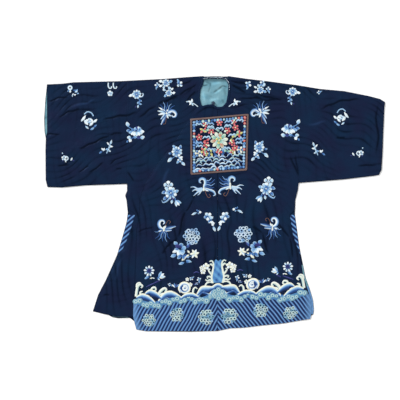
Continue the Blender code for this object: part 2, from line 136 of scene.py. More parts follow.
# Lower edges of the sleeves
RIGHT_UNDERARM = line((-697, 69), (-636, 67), (-536, 76), (-414, 80), (RIGHT_ARMHOLE, 82))
LEFT_UNDERARM = line((LEFT_ARMHOLE, 86), (447, 93), (548, 101), (615, 109), (674, 116), (695, 120))

# Round the neck hole, clockwise from the right shoulder
NECK = line(
    (-41, 522), (-10, 524), (25, 524), (52, 521), (63, 497), (60, 458), (54, 424), (38, 406), (17, 404),
    (-4, 416), (-28, 414), (-50, 408), (-58, 440), (-55, 475), (-44, 500),
)
NECK_MIDDLE = Point(2, 465)
NECK_TO_RIGHT_FRONT = line((-42, 535), (-40, 512), (-49, 494), (-56, 475), (-59, 450), (-51, 409), (-48, 396))
NECK_TO_LEFT_FRONT = line((61, 535), (64, 497), (61, 457), (54, 422), (38, 404), (17, 402))
OVERLAP_NECK = line((-49, 407), (-28, 413), (-4, 415), (17, 403))

# Side edges from the underarm to the hem
RIGHT_SIDE_FRONT = line(
    (RIGHT_ARMHOLE, 79), (RIGHT_ARMHOLE, 52), (-371, 34), (-365, 12), (-362, -20), (-329, -44), (-346, -103),
    (-366, -158), (-383, -195), (-403, -212), (-414, -237), (-452, -321), (-485, -384), (-507, -453),
)
RIGHT_SIDE_BACK = line(
    (RIGHT_ARMHOLE, 79), (RIGHT_ARMHOLE, -12), (-360, -36), (-364, -74), (-380, -132),
    (-399, -195), (-407, -222), (-430, -350), (-442, -467),
)
LEFT_SIDE_FRONT = line(
    (LEFT_ARMHOLE, 84), (355, 57), (344, 15), (342, -26), (320, -48), (332, -126), (349, -178),
    (363, -212), (376, -300), (390, -346), (408, -400), (412, -455), (406, -484),
)
LEFT_SIDE_BACK = line(
    (LEFT_ARMHOLE, 84), (355, 57), (344, 15), (342, -48), (351, -111), (359, -174), (376, -258),
    (386, -310), (404, -358), (418, -405), (422, -447), (419, -466),
)
BEYOND_BACK_FROM = -222.0

# The overlap's curved closing edge from the neck to the underarm, then its free edge to the hem
CLOSING_EDGE = line(
    (-49, 407), (-69, 403), (-89, 378), (-100, 351), (-124, 321), (-145, 284), (-166, 254), (-204, 204),
    (-250, 145), (-288, 82), (-310, 15), (-312, -52), (-323, -111), (-327, -220), (-331, -334),
    (-336, -420), (-338, -472), (-324, -529),
)

# Hems, from the viewer's left to right
UNDERLAP_HEM = line((-507, -453), (-460, -464), (-410, -474), (-338, -477), (UNDERLAP_INNER_EDGE, -478))
RIGHT_BACK_HEM = line(
    (-442, -467), (-426, -477), (-401, -482), (-350, -481), (-300, -520), (CENTRE_SEAM, -526),
)
OVERLAP_HEM = line((-324, -529), (-284, -536), (-99, -538), (CENTRE_SEAM, -535))
LEFT_FRONT_HEM = line((CENTRE_SEAM, -535), (69, -524), (132, -521), (195, -513), (296, -503), (406, -484))
LEFT_BACK_HEM = line((CENTRE_SEAM, -526), (132, -512), (296, -494), (400, -476), (419, -466))

# Outer corners of the badge's ribbon, clockwise from the wearer's upper right
BADGE_CORNERS = line((-97, 355), (147, 376), (141, 139), (-96, 120))

# The largest folds of the upper cloth, each a soft ridge along a line
FOLDS = folds(
    (-640, 196, -395, 304, 30, 4.5), (-500, 322, -300, 398, 28, 4.0), (-690, 340, -545, 412, 27, 3.5),
    (-688, 425, -590, 446, 24, 2.5), (-690, 280, -630, 292, 22, 2.0), (-560, 118, -440, 182, 26, 3.0),
    (-186, 440, -100, 486, 26, 3.5), (-332, 172, -314, 104, 20, 2.5), (-100, 30, -122, -60, 28, 3.0),
    (-122, -60, -172, -176, 30, 4.5), (-172, -176, -228, -232, 28, 3.0), (-300, -112, -240, -100, 22, 2.0),
    (-400, -250, -446, -420, 24, 2.5), (104, 492, 176, 462, 24, 3.0), (110, 432, 290, 440, 26, 3.0),
    (156, -92, 204, -130, 26, 3.0), (204, -130, 238, -212, 26, 3.0), (276, -82, 316, -160, 26, 3.5),
    (316, -160, 338, -240, 24, 3.0), (340, 200, 348, 100, 24, 2.5), (440, 396, 620, 440, 28, 3.5),
    (490, 268, 600, 284, 26, 3.0), (580, 156, 690, 172, 24, 2.5),
)

# Narrow creases of the upper cloth
CREASES = folds(
    # right sleeve
    (-692, 429, -609, 443, 5, -1.6), (-655, 356, -556, 402, 5, -1.7), (-460, 344, -323, 388, 6, -1.8),
    (-561, 233, -440, 281, 6, -2.2), (-440, 281, -378, 300, 5, -1.2), (-696, 292, -638, 286, 5, -1.4),
    (-566, 134, -527, 162, 4, -1.3), (-527, 132, -460, 170, 5, -1.4), (-653, 155, -604, 156, 4, -1.4),
    (-415, 143, -381, 144, 4, -1.0), (-436, 160, -400, 182, 4, -1.2), (-590, 404, -500, 438, 7, 1.2),
    # body by the neck and shoulders
    (-66, 496, -150, 462, 5, -2.0), (-150, 462, -232, 408, 6, -1.7), (-232, 408, -322, 362, 6, -1.2),
    (-72, 472, -122, 430, 5, -1.8), (-84, 518, -190, 484, 5, -1.4), (-226, 414, -150, 452, 5, -1.0),
    (-363, 140, -338, 98, 5, -1.4), (64, 520, 136, 494, 5, -1.9), (72, 500, 134, 460, 5, -2.0),
    (160, 464, 280, 438, 5, -1.8), (110, 436, 202, 439, 5, -1.6), (202, 439, 288, 439, 5, -1.2),
    (70, 404, 160, 412, 5, -0.8),
    # overlap
    (-90, 15, -116, -32, 5, -1.6), (-116, -32, -153, -137, 6, -2.2), (-153, -137, -218, -216, 6, -1.6),
    (-317, -116, -254, -101, 4, -1.2), (-60, 60, -90, 15, 6, -1.0), (-186, 150, -214, 60, 8, 1.0),
    # underlap
    (-458, -389, -431, -388, 4, -1.4), (-378, -220, -420, -330, 6, 0.9),
    # left body
    (157, -99, 200, -123, 5, -1.5), (200, -123, 235, -206, 5, -1.6), (272, -75, 314, -144, 5, -1.8),
    (314, -144, 338, -237, 5, -1.5), (325, 195, 352, 110, 6, -1.2), (348, 198, 352, 120, 5, -1.0),
    (60, -250, 66, -60, 7, -0.7),
    # left sleeve
    (443, 401, 615, 444, 6, -1.5), (515, 272, 557, 272, 5, -1.3), (598, 164, 682, 164, 5, -1.3),
    (686, 420, 688, 196, 6, -1.1), (400, 330, 470, 350, 7, 1.0),
)


def linear(hex_colour):
    """An sRGB hex colour as linear red, green and blue."""
    parts = [int(hex_colour[start:start + 2], 16) / 255 for start in (1, 3, 5)]
    return tuple(part / 12.92 if part <= 0.04045 else ((part + 0.055) / 1.055) ** 2.4 for part in parts)


# Floss colours of the embroidery
THREADS = {
    name: np.array(linear(colour))
    for name, colour in {
        "white": "#DCE6EA",
        "ice": "#A9CAE0",
        "sky": "#739FCB",
        "mid": "#3F6FAC",
        "deep": "#193F7C",
        "royal": "#0A244B",
        "violet": "#272B66",
        "lilac": "#3F4788",
        "cream": "#E2E2CC",
        "foam": "#CBD8CB",
        "cloud": "#85AFBC",
        "cloud_line": "#4C7E9F",
        "band": "#6390C2",
        "band_dark": "#001B4C",
        "band_edge": "#2F5C98",
        "rock": "#5F98C4",
        "rock_dark": "#4478B0",
        "ground": "#162238",
        "coral": "#C9565E",
        "rose": "#D49596",
        "red": "#A3333B",
        "olive": "#C9BE52",
        "sea": "#8FC2B0",
        "pine": "#3F7D86",
        "umber": "#6E5148",
        "gold": "#A98A5E",
        "tan": "#B8977C",
    }.items()
}


def ease(start, end, value):
    """0 at start, 1 at end, with an eased rise between."""
    share = np.clip((np.asarray(value, float) - start) / (end - start), 0.0, 1.0)
    return share * share * (3.0 - 2.0 * share)


def at_share(edge, share):
    """Points at those shares of an edge line's length."""
    points = np.array(edge, float)
    steps = np.hypot(*np.diff(points, axis=0).T)
    reached = np.concatenate(([0.0], np.cumsum(steps))) / steps.sum()
    return np.stack([np.interp(share, reached, points[:, axis]) for axis in (0, 1)], axis=-1)


def x_of(edge, y):
    """The x of a line that runs from high y to low y."""
    points = np.array(edge, float)[::-1]
    return np.interp(y, points[:, 1], points[:, 0])


def y_of(edge, x):
    """The y of a line that runs from low x to high x."""
    points = np.array(edge, float)
    return np.interp(x, points[:, 0], points[:, 1])


def between(edge, x_low, x_high):
    """The stretch of a rising-x line between two x values, with its ends worked out."""
    inside = [point for point in edge if x_low < point.x < x_high]
    return [Point(x_low, y_of(edge, x_low)), *inside, Point(x_high, y_of(edge, x_high))]


def moved(edge, dx, dy):
    return [Point(point.x + dx, point.y + dy) for point in edge]


def patch(near, far, low, high):
    """A flat patch inside four edge lines. near and far are its sides at u 0 and 1, both read
    from v 0 to 1, and low and high are its ends at v 0 and 1, both read from u 0 to 1."""
    corners = [np.array(point, float) for point in (low[0], low[-1], high[0], high[-1])]

    def place(u, v):
        across = np.asarray(u, float)[..., None]
        along = np.asarray(v, float)[..., None]
        sides = (1 - across) * at_share(near, v) + across * at_share(far, v)
        ends = (1 - along) * at_share(low, u) + along * at_share(high, u)
        lower = (1 - across) * corners[0] + across * corners[1]
        upper = (1 - across) * corners[2] + across * corners[3]
        return sides + ends - (1 - along) * lower - along * upper

    return place


def along_fold(fold, x, y):
    """How far along a fold's line a point is, as a share, and its distance from the line."""
    run_x, run_y = fold.x1 - fold.x0, fold.y1 - fold.y0
    share = ((x - fold.x0) * run_x + (y - fold.y0) * run_y) / (run_x ** 2 + run_y ** 2)
    share = np.clip(share, 0.0, 1.0)
    return share, np.hypot(x - fold.x0 - share * run_x, y - fold.y0 - share * run_y)


def large_folds(x, y):
    raised = np.zeros(np.shape(x))
    for fold in FOLDS:
        share, away = along_fold(fold, x, y)
        taper = 0.35 + 0.65 * np.sin(np.pi * share)
        raised = np.maximum(raised, fold.height * taper * np.exp(-((away / fold.width) ** 2)))
    return raised


def creases(x, y):
    """Narrow ridges and troughs, which die away at their ends."""
    change = np.zeros(np.shape(x))
    bent_x = x + 5.0 * np.sin(y / 23.0 + x / 61.0)
    bent_y = y + 5.0 * np.sin(x / 31.0) + 2.0 * np.sin(x / 11.0 + y / 17.0)
    for crease in CREASES:
        share, away = along_fold(crease, bent_x, bent_y)
        narrow = np.exp(-((away / crease.width / CREASE_NARROWING) ** 2))
        change += crease.height * np.sin(np.pi * share) ** 0.8 * narrow
    return change


def rumple(x, y):
    """Fine broken creases of thin silk. They run down and out from the neck, and upright lower down."""
    drift = 17.0 * np.sin(x / 47.0 + y / 90.0) + 10.0 * np.sin(x / 29.0 - y / 53.0 + 1.3)
    fanned = y + 0.55 * np.sqrt(x ** 2 + 120.0 ** 2) + drift
    upright = x + 0.12 * y + 0.8 * drift
    here = np.clip(0.52 + 0.75 * np.sin(x / 61.0 + 1.7) * np.sin(y / 47.0 + x / 130.0), 0.0, 1.0)
    there = np.clip(0.4 + 0.75 * np.sin(x / 43.0 + y / 210.0) * np.sin(y / 67.0 - x / 90.0 + 2.0), 0.0, 1.0)
    low = ease(120.0, -60.0, y)
    uneven = 0.55 + 0.45 * np.sin(x / 23.0 + y / 31.0) * np.sin(x / 53.0 - y / 19.0)
    here = here * uneven
    sharp_fan = (1.0 - np.abs(np.sin(np.pi * fanned / 30.0))) ** 2.2 * here * (1.0 - 0.7 * low)
    sharp_upright = (1.0 - np.abs(np.sin(np.pi * upright / 34.0))) ** 2.2 * there * (0.25 + 0.75 * low)
    return RUMPLE * (0.6 - sharp_fan - 0.8 * sharp_upright)


def fold_shade(x, y):
    """Painted shade in the creases and painted highlight on their ridges: 0 deep in a crease, 0.5 on plain
    cloth.
    """
    narrow = CREASE_GAIN * creases(x, y) + rumple(x, y) - 0.6 * RUMPLE
    return np.clip(0.5 + narrow / SHADE_DEPTH, 0.0, 1.0)


def soft_waves(x, y):
    """The slow rise and fall of silk that isn't pressed, from 0 to about 2 times its rise."""
    long_wave = np.sin(x / 83.0 + y / 131.0 + 0.6) * np.cos(x / 157.0 - y / 97.0)
    short_wave = np.sin(x / 37.0 - y / 61.0) * np.sin(x / 71.0 + y / 43.0 + 1.1)
    return SOFT_RISE * (1.0 + 0.6 * long_wave + 0.3 * short_wave)


def loft(x, y):
    """Height of the cloth's own folds over the same panel pressed flat."""
    from_neck = np.hypot(x - NECK_MIDDLE.x, y - NECK_MIDDLE.y)
    below_shoulder = ease(0.0, SHOULDER_FADE, y_of(SHOULDER, x) - y)
    broad = (large_folds(x, y) + soft_waves(x, y)) * ease(NECK_CLEAR, NECK_CLEAR + NECK_FADE, from_neck)
    narrow = CREASE_GAIN * creases(x, y) + rumple(x, y)
    off_neck = ease(CREASE_NECK_CLEAR, CREASE_NECK_CLEAR + CREASE_NECK_FADE, from_neck)
    return (broad + narrow * off_neck) * below_shoulder


def off_side(x, y, edge, direction):
    """0 at the open side edge below the sleeve and 1 well inside it."""
    inward = direction * (x - x_of(edge, y))
    return 1.0 - (1.0 - ease(0.0, EDGE_FADE, inward)) * ease(*SIDE_SEAM_TOP, y)


def side_seam_drop(x, y, edge, direction):
    """How far the front comes down to the back along the closed side seam under the arm."""
    inward = direction * (x - x_of(edge, y))
    reach = ease(*SIDE_SEAM_TOP, y) * ease(*SIDE_SEAM_END, y)
    return (FRONT_TOP - SEAM_TOP) * ease(SIDE_DROP, 0.0, inward) * reach


def right_front_top(x, y):
    """The right front is flat where the overlap covers it, and its hem corner reaches the floor."""
    uncovered = ease(0.0, COVER_FADE, x_of(CLOSING_EDGE, y) - x)
    inside = off_side(x, y, RIGHT_SIDE_FRONT, 1) * ease(0.0, EDGE_FADE, y - y_of(UNDERLAP_HEM, x))
    height = FRONT_TOP + loft(x, y) * uncovered * inside - side_seam_drop(x, y, RIGHT_SIDE_FRONT, 1)
    beyond_back = np.clip((x_of(RIGHT_SIDE_BACK, y) - x) / FLOOR_DROP, 0.0, 1.0)
    height = height - (FRONT_TOP - WALL) * beyond_back * (y < BEYOND_BACK_FROM)
    return np.maximum(height, WALL)


def left_front_top(x, y):
    above_hem = y - y_of(LEFT_FRONT_HEM, x)
    off_vent = 1.0 - ease(*VENT_LIFT, x)
    inside = off_side(x, y, LEFT_SIDE_FRONT, -1) * ease(0.0, EDGE_FADE, above_hem)
    height = FRONT_TOP + loft(x, y) * inside - side_seam_drop(x, y, LEFT_SIDE_FRONT, -1)
    return height - (FRONT_TOP - SEAM_TOP) * ease(HEM_DROP, 0.0, above_hem) * off_vent


def overlap_top(x, y):
    """The overlap lies on the right front, and comes down to the left front and to its own hem."""
    ramp = np.clip((x - (CENTRE_SEAM - CENTRE_RAMP)) / CENTRE_RAMP, 0.0, 1.0)
    flat = OVERLAP_TOP - (OVERLAP_TOP - FRONT_TOP) * ramp
    above_hem = y - y_of(OVERLAP_HEM, x)
    inside = ease(0.0, EDGE_FADE, x - x_of(CLOSING_EDGE, y)) * ease(0.0, EDGE_FADE, above_hem)
    return flat + loft(x, y) * inside - (flat - SEAM_TOP) * ease(HEM_DROP, 0.0, above_hem)


def sleeve_top(x, y, underarm, from_cuff):
    """A sleeve's folds die away towards its underarm seam and its cuff."""
    inside = ease(0.0, EDGE_FADE, y - y_of(underarm, x)) * ease(0.0, EDGE_FADE, from_cuff)
    return FRONT_TOP + loft(x, y) * inside


def right_sleeve_top(x, y):
    return sleeve_top(x, y, RIGHT_UNDERARM, x - x_of(RIGHT_CUFF_FRONT, y))


def left_sleeve_top(x, y):
    return sleeve_top(x, y, LEFT_UNDERARM, x_of(LEFT_CUFF, y) - x)


def front_top(x, y):
    """The highest cloth at each point of the laid-out robe, without the badge."""
    x, y = np.asarray(x, float), np.asarray(y, float)
    on_overlap = (x < CENTRE_SEAM) & (x > x_of(CLOSING_EDGE, y)) & (y < y_of(OVERLAP_NECK, x))
    on_arm = y > SIDE_SEAM_TOP[1]
    return np.select(
        [(x < RIGHT_ARMHOLE) & on_arm, (x > LEFT_ARMHOLE) & on_arm, on_overlap, x >= CENTRE_SEAM],
        [right_sleeve_top(x, y), left_sleeve_top(x, y), overlap_top(x, y), left_front_top(x, y)],
        right_front_top(x, y),
    )


def back_inner_top(x, y):
    """The back's upper side, where the vents show it."""
    return np.full(np.shape(x), BACK_TOP)


def badge_top(x, y):
    return front_top(x, y) + BADGE_GAP + WALL


# Materials

def add_node(tree, kind, inputs=None, **fields):
    """One node with its fields set. inputs holds each input's value, or the output linked to it."""
    made = tree.nodes.new(kind)
    for field, value in fields.items():
        setattr(made, field, value)
    for socket, value in (inputs or {}).items():
        if isinstance(value, bpy.types.NodeSocket):
            tree.links.new(value, made.inputs[socket])
        else:
            made.inputs[socket].default_value = value
    return made


def blank_material(name):
    material = bpy.data.materials.get(name) or bpy.data.materials.new(name)
    material.use_nodes = True
    material.node_tree.nodes.clear()
    return material, material.node_tree


def end_material(material, tree, inputs):
    """The Principled shader with those inputs, and the material's output."""
    shader = add_node(tree, "ShaderNodeBsdfPrincipled", inputs)
    add_node(tree, "ShaderNodeOutputMaterial", {"Surface": shader.outputs["BSDF"]})
    return material


def wave_scale(period):
    """The Wave texture's scale for bands that repeat after a period."""
    return 2 * math.pi / (20 * period)


def object_place(tree):
    return add_node(tree, "ShaderNodeTexCoord").outputs["Object"]


def noise(tree, place, size, **inputs):
    """Noise with features of about a size in mm."""
    fields = {"Vector": place, "Scale": 1 / (size * MM), **inputs}
    return add_node(tree, "ShaderNodeTexNoise", fields).outputs["Fac"]


def waves(tree, place, period, distortion, way):
    """Even bands that repeat after a period."""
    fields = {"Vector": place, "Scale": wave_scale(period), "Distortion": distortion}
    made = add_node(tree, "ShaderNodeTexWave", fields, wave_type="BANDS", bands_direction=way)
    return made.outputs["Fac"]


def bumped(tree, height, strength, depth, **inputs):
    """The normal over a pattern that is a depth in mm high."""
    fields = {"Height": height, "Strength": strength, "Distance": depth * MM, **inputs}
    return add_node(tree, "ShaderNodeBump", fields).outputs["Normal"]


def mixed_colour(tree, share, first, second):
    """A blend of two colours. The Mix node's colour sockets are its inputs 6 and 7, and output 2."""
    fields = {0: share, 6: (*first, 1.0), 7: (*second, 1.0)}
    return add_node(tree, "ShaderNodeMix", fields, data_type="RGBA").outputs[2]


# Name of the mesh attribute that holds the painted shade and painted highlight of the creases
FOLD_SHADE = "fold_shade"

# Size and depth of the cloth's small wrinkles
WRINKLE_SIZE = 26.0
WRINKLE_DEPTH = 1.6
WEAVE_DEPTH = 0.15


def woven_silk(name, colour, shadow, patch_size, thread, roughness, gloss):
    """A silk cloth: two tones in slow patches, a fine weave of crossing threads, small wrinkles, and painted
    shade and painted highlight along its creases.

    Real silk threads are about 0.1 mm, too fine to show, so the weave is drawn coarser."""
    material, tree = blank_material(name)
    place = object_place(tree)
    warp, weft = (waves(tree, place, thread * MM, 0.4, way) for way in "XY")
    weave = add_node(tree, "ShaderNodeMath", {0: warp, 1: weft}, operation="MULTIPLY")
    small = noise(tree, place, WRINKLE_SIZE, Detail=3.0, Roughness=0.6, Distortion=1.2)
    creased = bumped(tree, small, 1.0, WRINKLE_DEPTH)
    slow = noise(tree, place, patch_size, Detail=4.0, Roughness=0.55)
    patches = add_node(tree, "ShaderNodeMapRange", {"Value": slow, "From Min": 0.34, "From Max": 0.66})
    dyed = mixed_colour(tree, patches.outputs["Result"], shadow, colour)
    # Painted shade and painted highlight: the fold_shade attribute scales the dyed colour, darker in creases,
    # lighter on ridges, unchanged at 0.5
    painted_fold_shading = add_node(tree, "ShaderNodeAttribute", attribute_name=FOLD_SHADE).outputs["Fac"]
    depth = add_node(tree, "ShaderNodeMath", {0: painted_fold_shading, 1: 1.5, 2: 0.25}, operation="MULTIPLY_ADD")
    scaled = {0: dyed, "Scale": depth.outputs["Value"]}
    base = add_node(tree, "ShaderNodeVectorMath", scaled, operation="SCALE")
    return end_material(material, tree, {
        "Base Color": base.outputs["Vector"],
        "Roughness": roughness,
        "Specular IOR Level": 0.25,
        "Specular Tint": (*gloss, 1.0),
        "Normal": bumped(tree, weave.outputs["Value"], 0.25, WEAVE_DEPTH, Normal=creased),
    })


def navy_satin(name="navy silk satin"):
    """Dark satin, smooth and softly glossy, a little uneven in its dye."""
    cloth = bpy.context.scene.robe_cloth
    return woven_silk(name, cloth.ground, cloth.ground_shadow, 110.0, 1.6, 0.42, linear("#5F7FC0"))


def teal_plain_silk():
    """Thin plain-woven lining silk, paler and duller than the satin."""
    cloth = bpy.context.scene.robe_cloth
    return woven_silk(
        "teal lining silk", cloth.lining, cloth.lining_shadow, 35.0, 1.8, 0.6, linear("#A8D0DC")
    )


def badge_ground():
    """The badge's own dark satin, duller than the robe's."""
    return woven_silk("badge silk", linear("#141B36"), linear("#0B1022"), 60.0, 1.6, 0.5, linear("#5F6FA0"))


THREAD_COLOUR = "thread_colour"
STITCH_COURSE = "stitch_course"
FLOSS_WIDTH = 1.1


def silk_floss():
    """Untwisted silk floss in satin stitch: glossy, in parallel threads. The real stitches lie about
    0.4 mm apart and are drawn at a little over 1 mm so that they show."""
    material, tree = blank_material("silk floss in satin stitch")
    colour = add_node(tree, "ShaderNodeAttribute", attribute_name=THREAD_COLOUR).outputs["Color"]
    course = add_node(tree, "ShaderNodeUVMap", uv_map=STITCH_COURSE).outputs["UV"]
    rows = waves(tree, course, FLOSS_WIDTH, 0.6, "Y")
    return end_material(material, tree, {
        "Base Color": colour,
        "Roughness": 0.5,
        "Specular IOR Level": 0.2,
        "Normal": bumped(tree, rows, 0.5, 0.25),
    })


def twisted_cord():
    """Navy silk cord: a matt rounded twist that catches light on its ridges."""
    material, tree = blank_material("twisted silk cord")
    twist = waves(tree, object_place(tree), 1.2 * MM, 1.5, "DIAGONAL")
    return end_material(material, tree, {
        # Painted highlight: the twist's ridges are painted lighter, on top of their bump
        "Base Color": mixed_colour(tree, twist, linear("#0E1728"), linear("#24365A")),
        "Roughness": 0.55,
        "Normal": bumped(tree, twist, 0.8, 0.4),
    })


def brown_brocade():
    """Narrow woven ribbon with a metal-wrapped thread, dull brown with a warm glint."""
    material, tree = blank_material("brown brocade ribbon")
    fields = {"Vector": object_place(tree), "Scale": 1 / (3.2 * MM), "Randomness": 0.4}
    figure = add_node(tree, "ShaderNodeTexVoronoi", fields, distance="MANHATTAN").outputs["Distance"]
    return end_material(material, tree, {
        "Base Color": mixed_colour(tree, figure, linear("#34292C"), linear("#6C5551")),
        "Roughness": 0.5,
        "Normal": bumped(tree, figure, 0.6, 0.3),
    })


def white_paper():
    """A plain white paper sweep, matt and even."""
    material, tree = blank_material("white paper")
    grain = noise(tree, object_place(tree), 4.0, Detail=2.0)
    return end_material(material, tree, {
        "Base Color": (0.95, 0.95, 0.95, 1.0),
        "Roughness": 0.9,
        "Normal": bumped(tree, grain, 0.05, 0.05),
    })


# Cloth pieces

def located(places):
    """Points of the tables, as an array of x, y and z, in metres from the frame's origin."""
    return (np.asarray(places, float) - (MIDDLE.x, MIDDLE.y, 0.0)) * MM


def show(piece, material):
    """A finished piece in the scene, riding on the robe's one body."""
    if piece.name not in bpy.context.scene.collection.objects:
        bpy.context.scene.collection.objects.link(piece)
    piece.data.materials.append(material)
    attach(piece, "root")
    return piece


# How much darker the painted shade is along the free edges of the cloth
RIM_SHADE = 0.2


def shade_folds(mesh, rims=(), shade_of=fold_shade):
    """Writes the painted shade of the creases and the painted highlight of their ridges at each point of a
    cloth piece, for its material. Its free edges are painted darker still, as painted shade."""
    spots = np.empty(len(mesh.vertices) * 3)
    mesh.vertices.foreach_get("co", spots)
    x, y = spots.reshape(-1, 3).T[:2] / MM
    x, y = x + MIDDLE.x, y + MIDDLE.y
    shade = shade_of(x, y)
    # Painted shade: free edges, apart from the armhole seams, are darkened
    unsewn = (np.abs(x - RIGHT_ARMHOLE) > 1.0) & (np.abs(x - LEFT_ARMHOLE) > 1.0)
    shade[np.isin(np.arange(len(x)), rims) & unsewn] *= RIM_SHADE
    written = mesh.attributes.new(FOLD_SHADE, "FLOAT", "POINT")
    written.data.foreach_set("value", shade)


def wall(name, columns, rows, place, closed=False, shade_of=fold_shade):
    """A wall of cloth. place(column, row) gives its outer side, and it is thickened inwards."""
    form = bmesh.new()
    bmesh.ops.create_grid(form, x_segments=columns, y_segments=rows, size=0.5)
    spots = np.array([vertex.co[:2] for vertex in form.verts])
    column = np.rint((spots[:, 0] + 0.5) * columns)
    row = np.rint((spots[:, 1] + 0.5) * rows)
    for vertex, spot in zip(form.verts, located(place(column, row))):
        vertex.co = spot
    if closed:
        bmesh.ops.remove_doubles(form, verts=form.verts, dist=MERGE_DISTANCE)
    mesh = bpy.data.meshes.new(name)
    mesh["flat_area"] = sum(face.calc_area() for face in form.faces)
    form.verts.index_update()
    rims = [vertex.index for vertex in form.verts if vertex.is_boundary]
    form.to_mesh(mesh)
    form.free()
    mesh.shade_smooth()
    shade_folds(mesh, rims, shade_of)
    piece = bpy.data.objects.new(name, mesh)
    solid = piece.modifiers.new("Cloth thickness", "SOLIDIFY")
    solid.thickness = WALL * MM
    solid.offset = -1.0
    solid.use_even_offset = True
    piece.modifiers.new("Even shading", "WEIGHTED_NORMAL")
    return piece


FOLD_SEGMENTS = 6

# Squares of each cloth's grid across, up its front and, where it has one, down its back
GRIDS = {
    "right_sleeve_silk": (110, 140, 24),
    "left_sleeve_silk": (110, 134, 24),
    "right_body_silk": (116, 250, 70),
    "left_body_silk": (96, 250, 70),
    "overlap_silk": (88, 230),
    "neck_lining_silk": (80, 80),
    "hem_lining_silk": (16, 4),
    "cuff_lining_silk": (6, 60),
    "vent_lining_silk": (6, 70),
    "badge_silk": (56, 56),
}


def over_fold(top, fold_step):
    """Points round the shoulder fold from the front's upper side to the back's lower side."""
    radius = FRONT_TOP / 2
    turn = np.pi * fold_step / FOLD_SEGMENTS
    return np.column_stack((top[:, 0], top[:, 1] + radius * np.sin(turn), radius * (1 + np.cos(turn))))


def with_height(flat, top):
    return np.column_stack((flat, top(flat[:, 0], flat[:, 1])))


def flat_wall(name, flat, top, **form):
    """A wall of cloth over one patch."""
    columns, rows = GRIDS[name]
    return wall(name, columns, rows, lambda c, r: with_height(flat(c / columns, r / rows), top), **form)


def laid_round(name, front, back, front_height, seamed=False):
    """Cloth that runs up the front, over the shoulder fold and down the back. A seamed one is a
    flattened tube, which comes round to its front again along its lower edge."""
    columns, front_rows, back_rows = GRIDS[name]
    back_start = front_rows + FOLD_SEGMENTS
    back_end = back_start + back_rows

    def place(column, row):
        u = column / columns
        places = np.zeros((len(u), 3))
        on_front = row <= front_rows
        on_fold = (row > front_rows) & (row < back_start)
        on_back = (row >= back_start) & (row <= back_end)
        on_seam = row > back_end
        places[on_front] = with_height(front(u[on_front], row[on_front] / front_rows), front_height)
        places[on_fold] = over_fold(front(u[on_fold], np.ones(on_fold.sum())), row[on_fold] - front_rows)
        places[on_back, :2] = back(u[on_back], (row[on_back] - back_start) / back_rows)
        seam = front(u[on_seam], np.zeros(on_seam.sum()))
        turned = over_fold(np.zeros((on_seam.sum(), 2)), row[on_seam] - back_end)
        places[on_seam] = np.column_stack((seam[:, 0], seam[:, 1] - turned[:, 1], FRONT_TOP - turned[:, 2]))
        return places

    rows = back_end + FOLD_SEGMENTS if seamed else back_end
    return wall(name, columns, rows, place, closed=seamed)


def make_right_sleeve():
    fold = FRONT_TOP / 2
    shoulder = moved(between(SHOULDER, -699, RIGHT_ARMHOLE), -GAP / 2, -fold)
    seam = moved(RIGHT_UNDERARM, -GAP / 2, fold)
    armhole = [seam[-1], shoulder[-1]]
    front_cuff = [seam[0], *moved(RIGHT_CUFF_FRONT[::-1], -GAP / 2, 0.0)[1:-1], shoulder[0]]
    back_cuff = [shoulder[0], *moved(RIGHT_CUFF_BACK, -GAP / 2, 0.0)[1:-1], seam[0]]
    return laid_round(
        "right_sleeve_silk",
        patch(front_cuff, armhole, seam, shoulder),
        patch(back_cuff, armhole[::-1], shoulder, seam),
        right_sleeve_top, seamed=True,
    )


def make_left_sleeve():
    fold = FRONT_TOP / 2
    shoulder = moved(between(SHOULDER, LEFT_ARMHOLE, 720), GAP / 2, -fold)
    seam = moved(LEFT_UNDERARM, GAP / 2, fold)
    armhole = [seam[0], shoulder[0]]
    cuff = [seam[-1], *moved(LEFT_CUFF[::-1], GAP / 2, 0.0)[1:-1], shoulder[-1]]
    return laid_round(
        "left_sleeve_silk",
        patch(armhole, cuff, seam, shoulder),
        patch(armhole[::-1], cuff[::-1], shoulder, seam),
        left_sleeve_top, seamed=True,
    )


def make_right_body():
    fold, half = FRONT_TOP / 2, GAP / 2
    top = moved(between(SHOULDER, RIGHT_ARMHOLE + half, -42), 0.0, -fold)
    outer = [top[0], *moved(RIGHT_SIDE_FRONT, half, 0.0)][::-1]
    inner = [top[-1], *NECK_TO_RIGHT_FRONT[1:], UNDERLAP_HEM[-1]][::-1]
    hem = [outer[0], *UNDERLAP_HEM[1:]]
    back_outer = [top[0], *moved(RIGHT_SIDE_BACK, half, 0.0)]
    back_end = Point(CENTRE_SEAM - half, RIGHT_BACK_HEM[-1].y)
    back_hem = [back_outer[-1], *RIGHT_BACK_HEM[1:-1], back_end]
    back_inner = [top[-1], Point(CENTRE_SEAM - half, top[-1].y), back_end]
    return laid_round(
        "right_body_silk",
        patch(outer, inner, hem, top),
        patch(back_outer, back_inner, top, back_hem),
        right_front_top,
    )


def make_left_body():
    fold, half = FRONT_TOP / 2, GAP / 2
    top = moved(between(SHOULDER, 61, LEFT_ARMHOLE - half), 0.0, -fold)
    outer = [top[-1], *moved(LEFT_SIDE_FRONT, -half, 0.0)][::-1]
    centre_top = Point(CENTRE_SEAM + half, NECK_TO_LEFT_FRONT[-1].y)
    centre_hem = Point(CENTRE_SEAM + half, LEFT_FRONT_HEM[0].y)
    inner = [top[0], *NECK_TO_LEFT_FRONT[1:-1], centre_top, centre_hem][::-1]
    hem = [centre_hem, *LEFT_FRONT_HEM[1:-1], outer[0]]
    back_outer = [top[-1], *moved(LEFT_SIDE_BACK, -half, 0.0)]
    back_end = Point(CENTRE_SEAM + half, LEFT_BACK_HEM[0].y)
    back_hem = [back_end, *LEFT_BACK_HEM[1:-1], back_outer[-1]]
    back_inner = [top[0], Point(CENTRE_SEAM + half, top[0].y), back_end]
    return laid_round(
        "left_body_silk",
        patch(inner, outer, hem, top),
        patch(back_inner, back_outer, top, back_hem),
        left_front_top,
    )


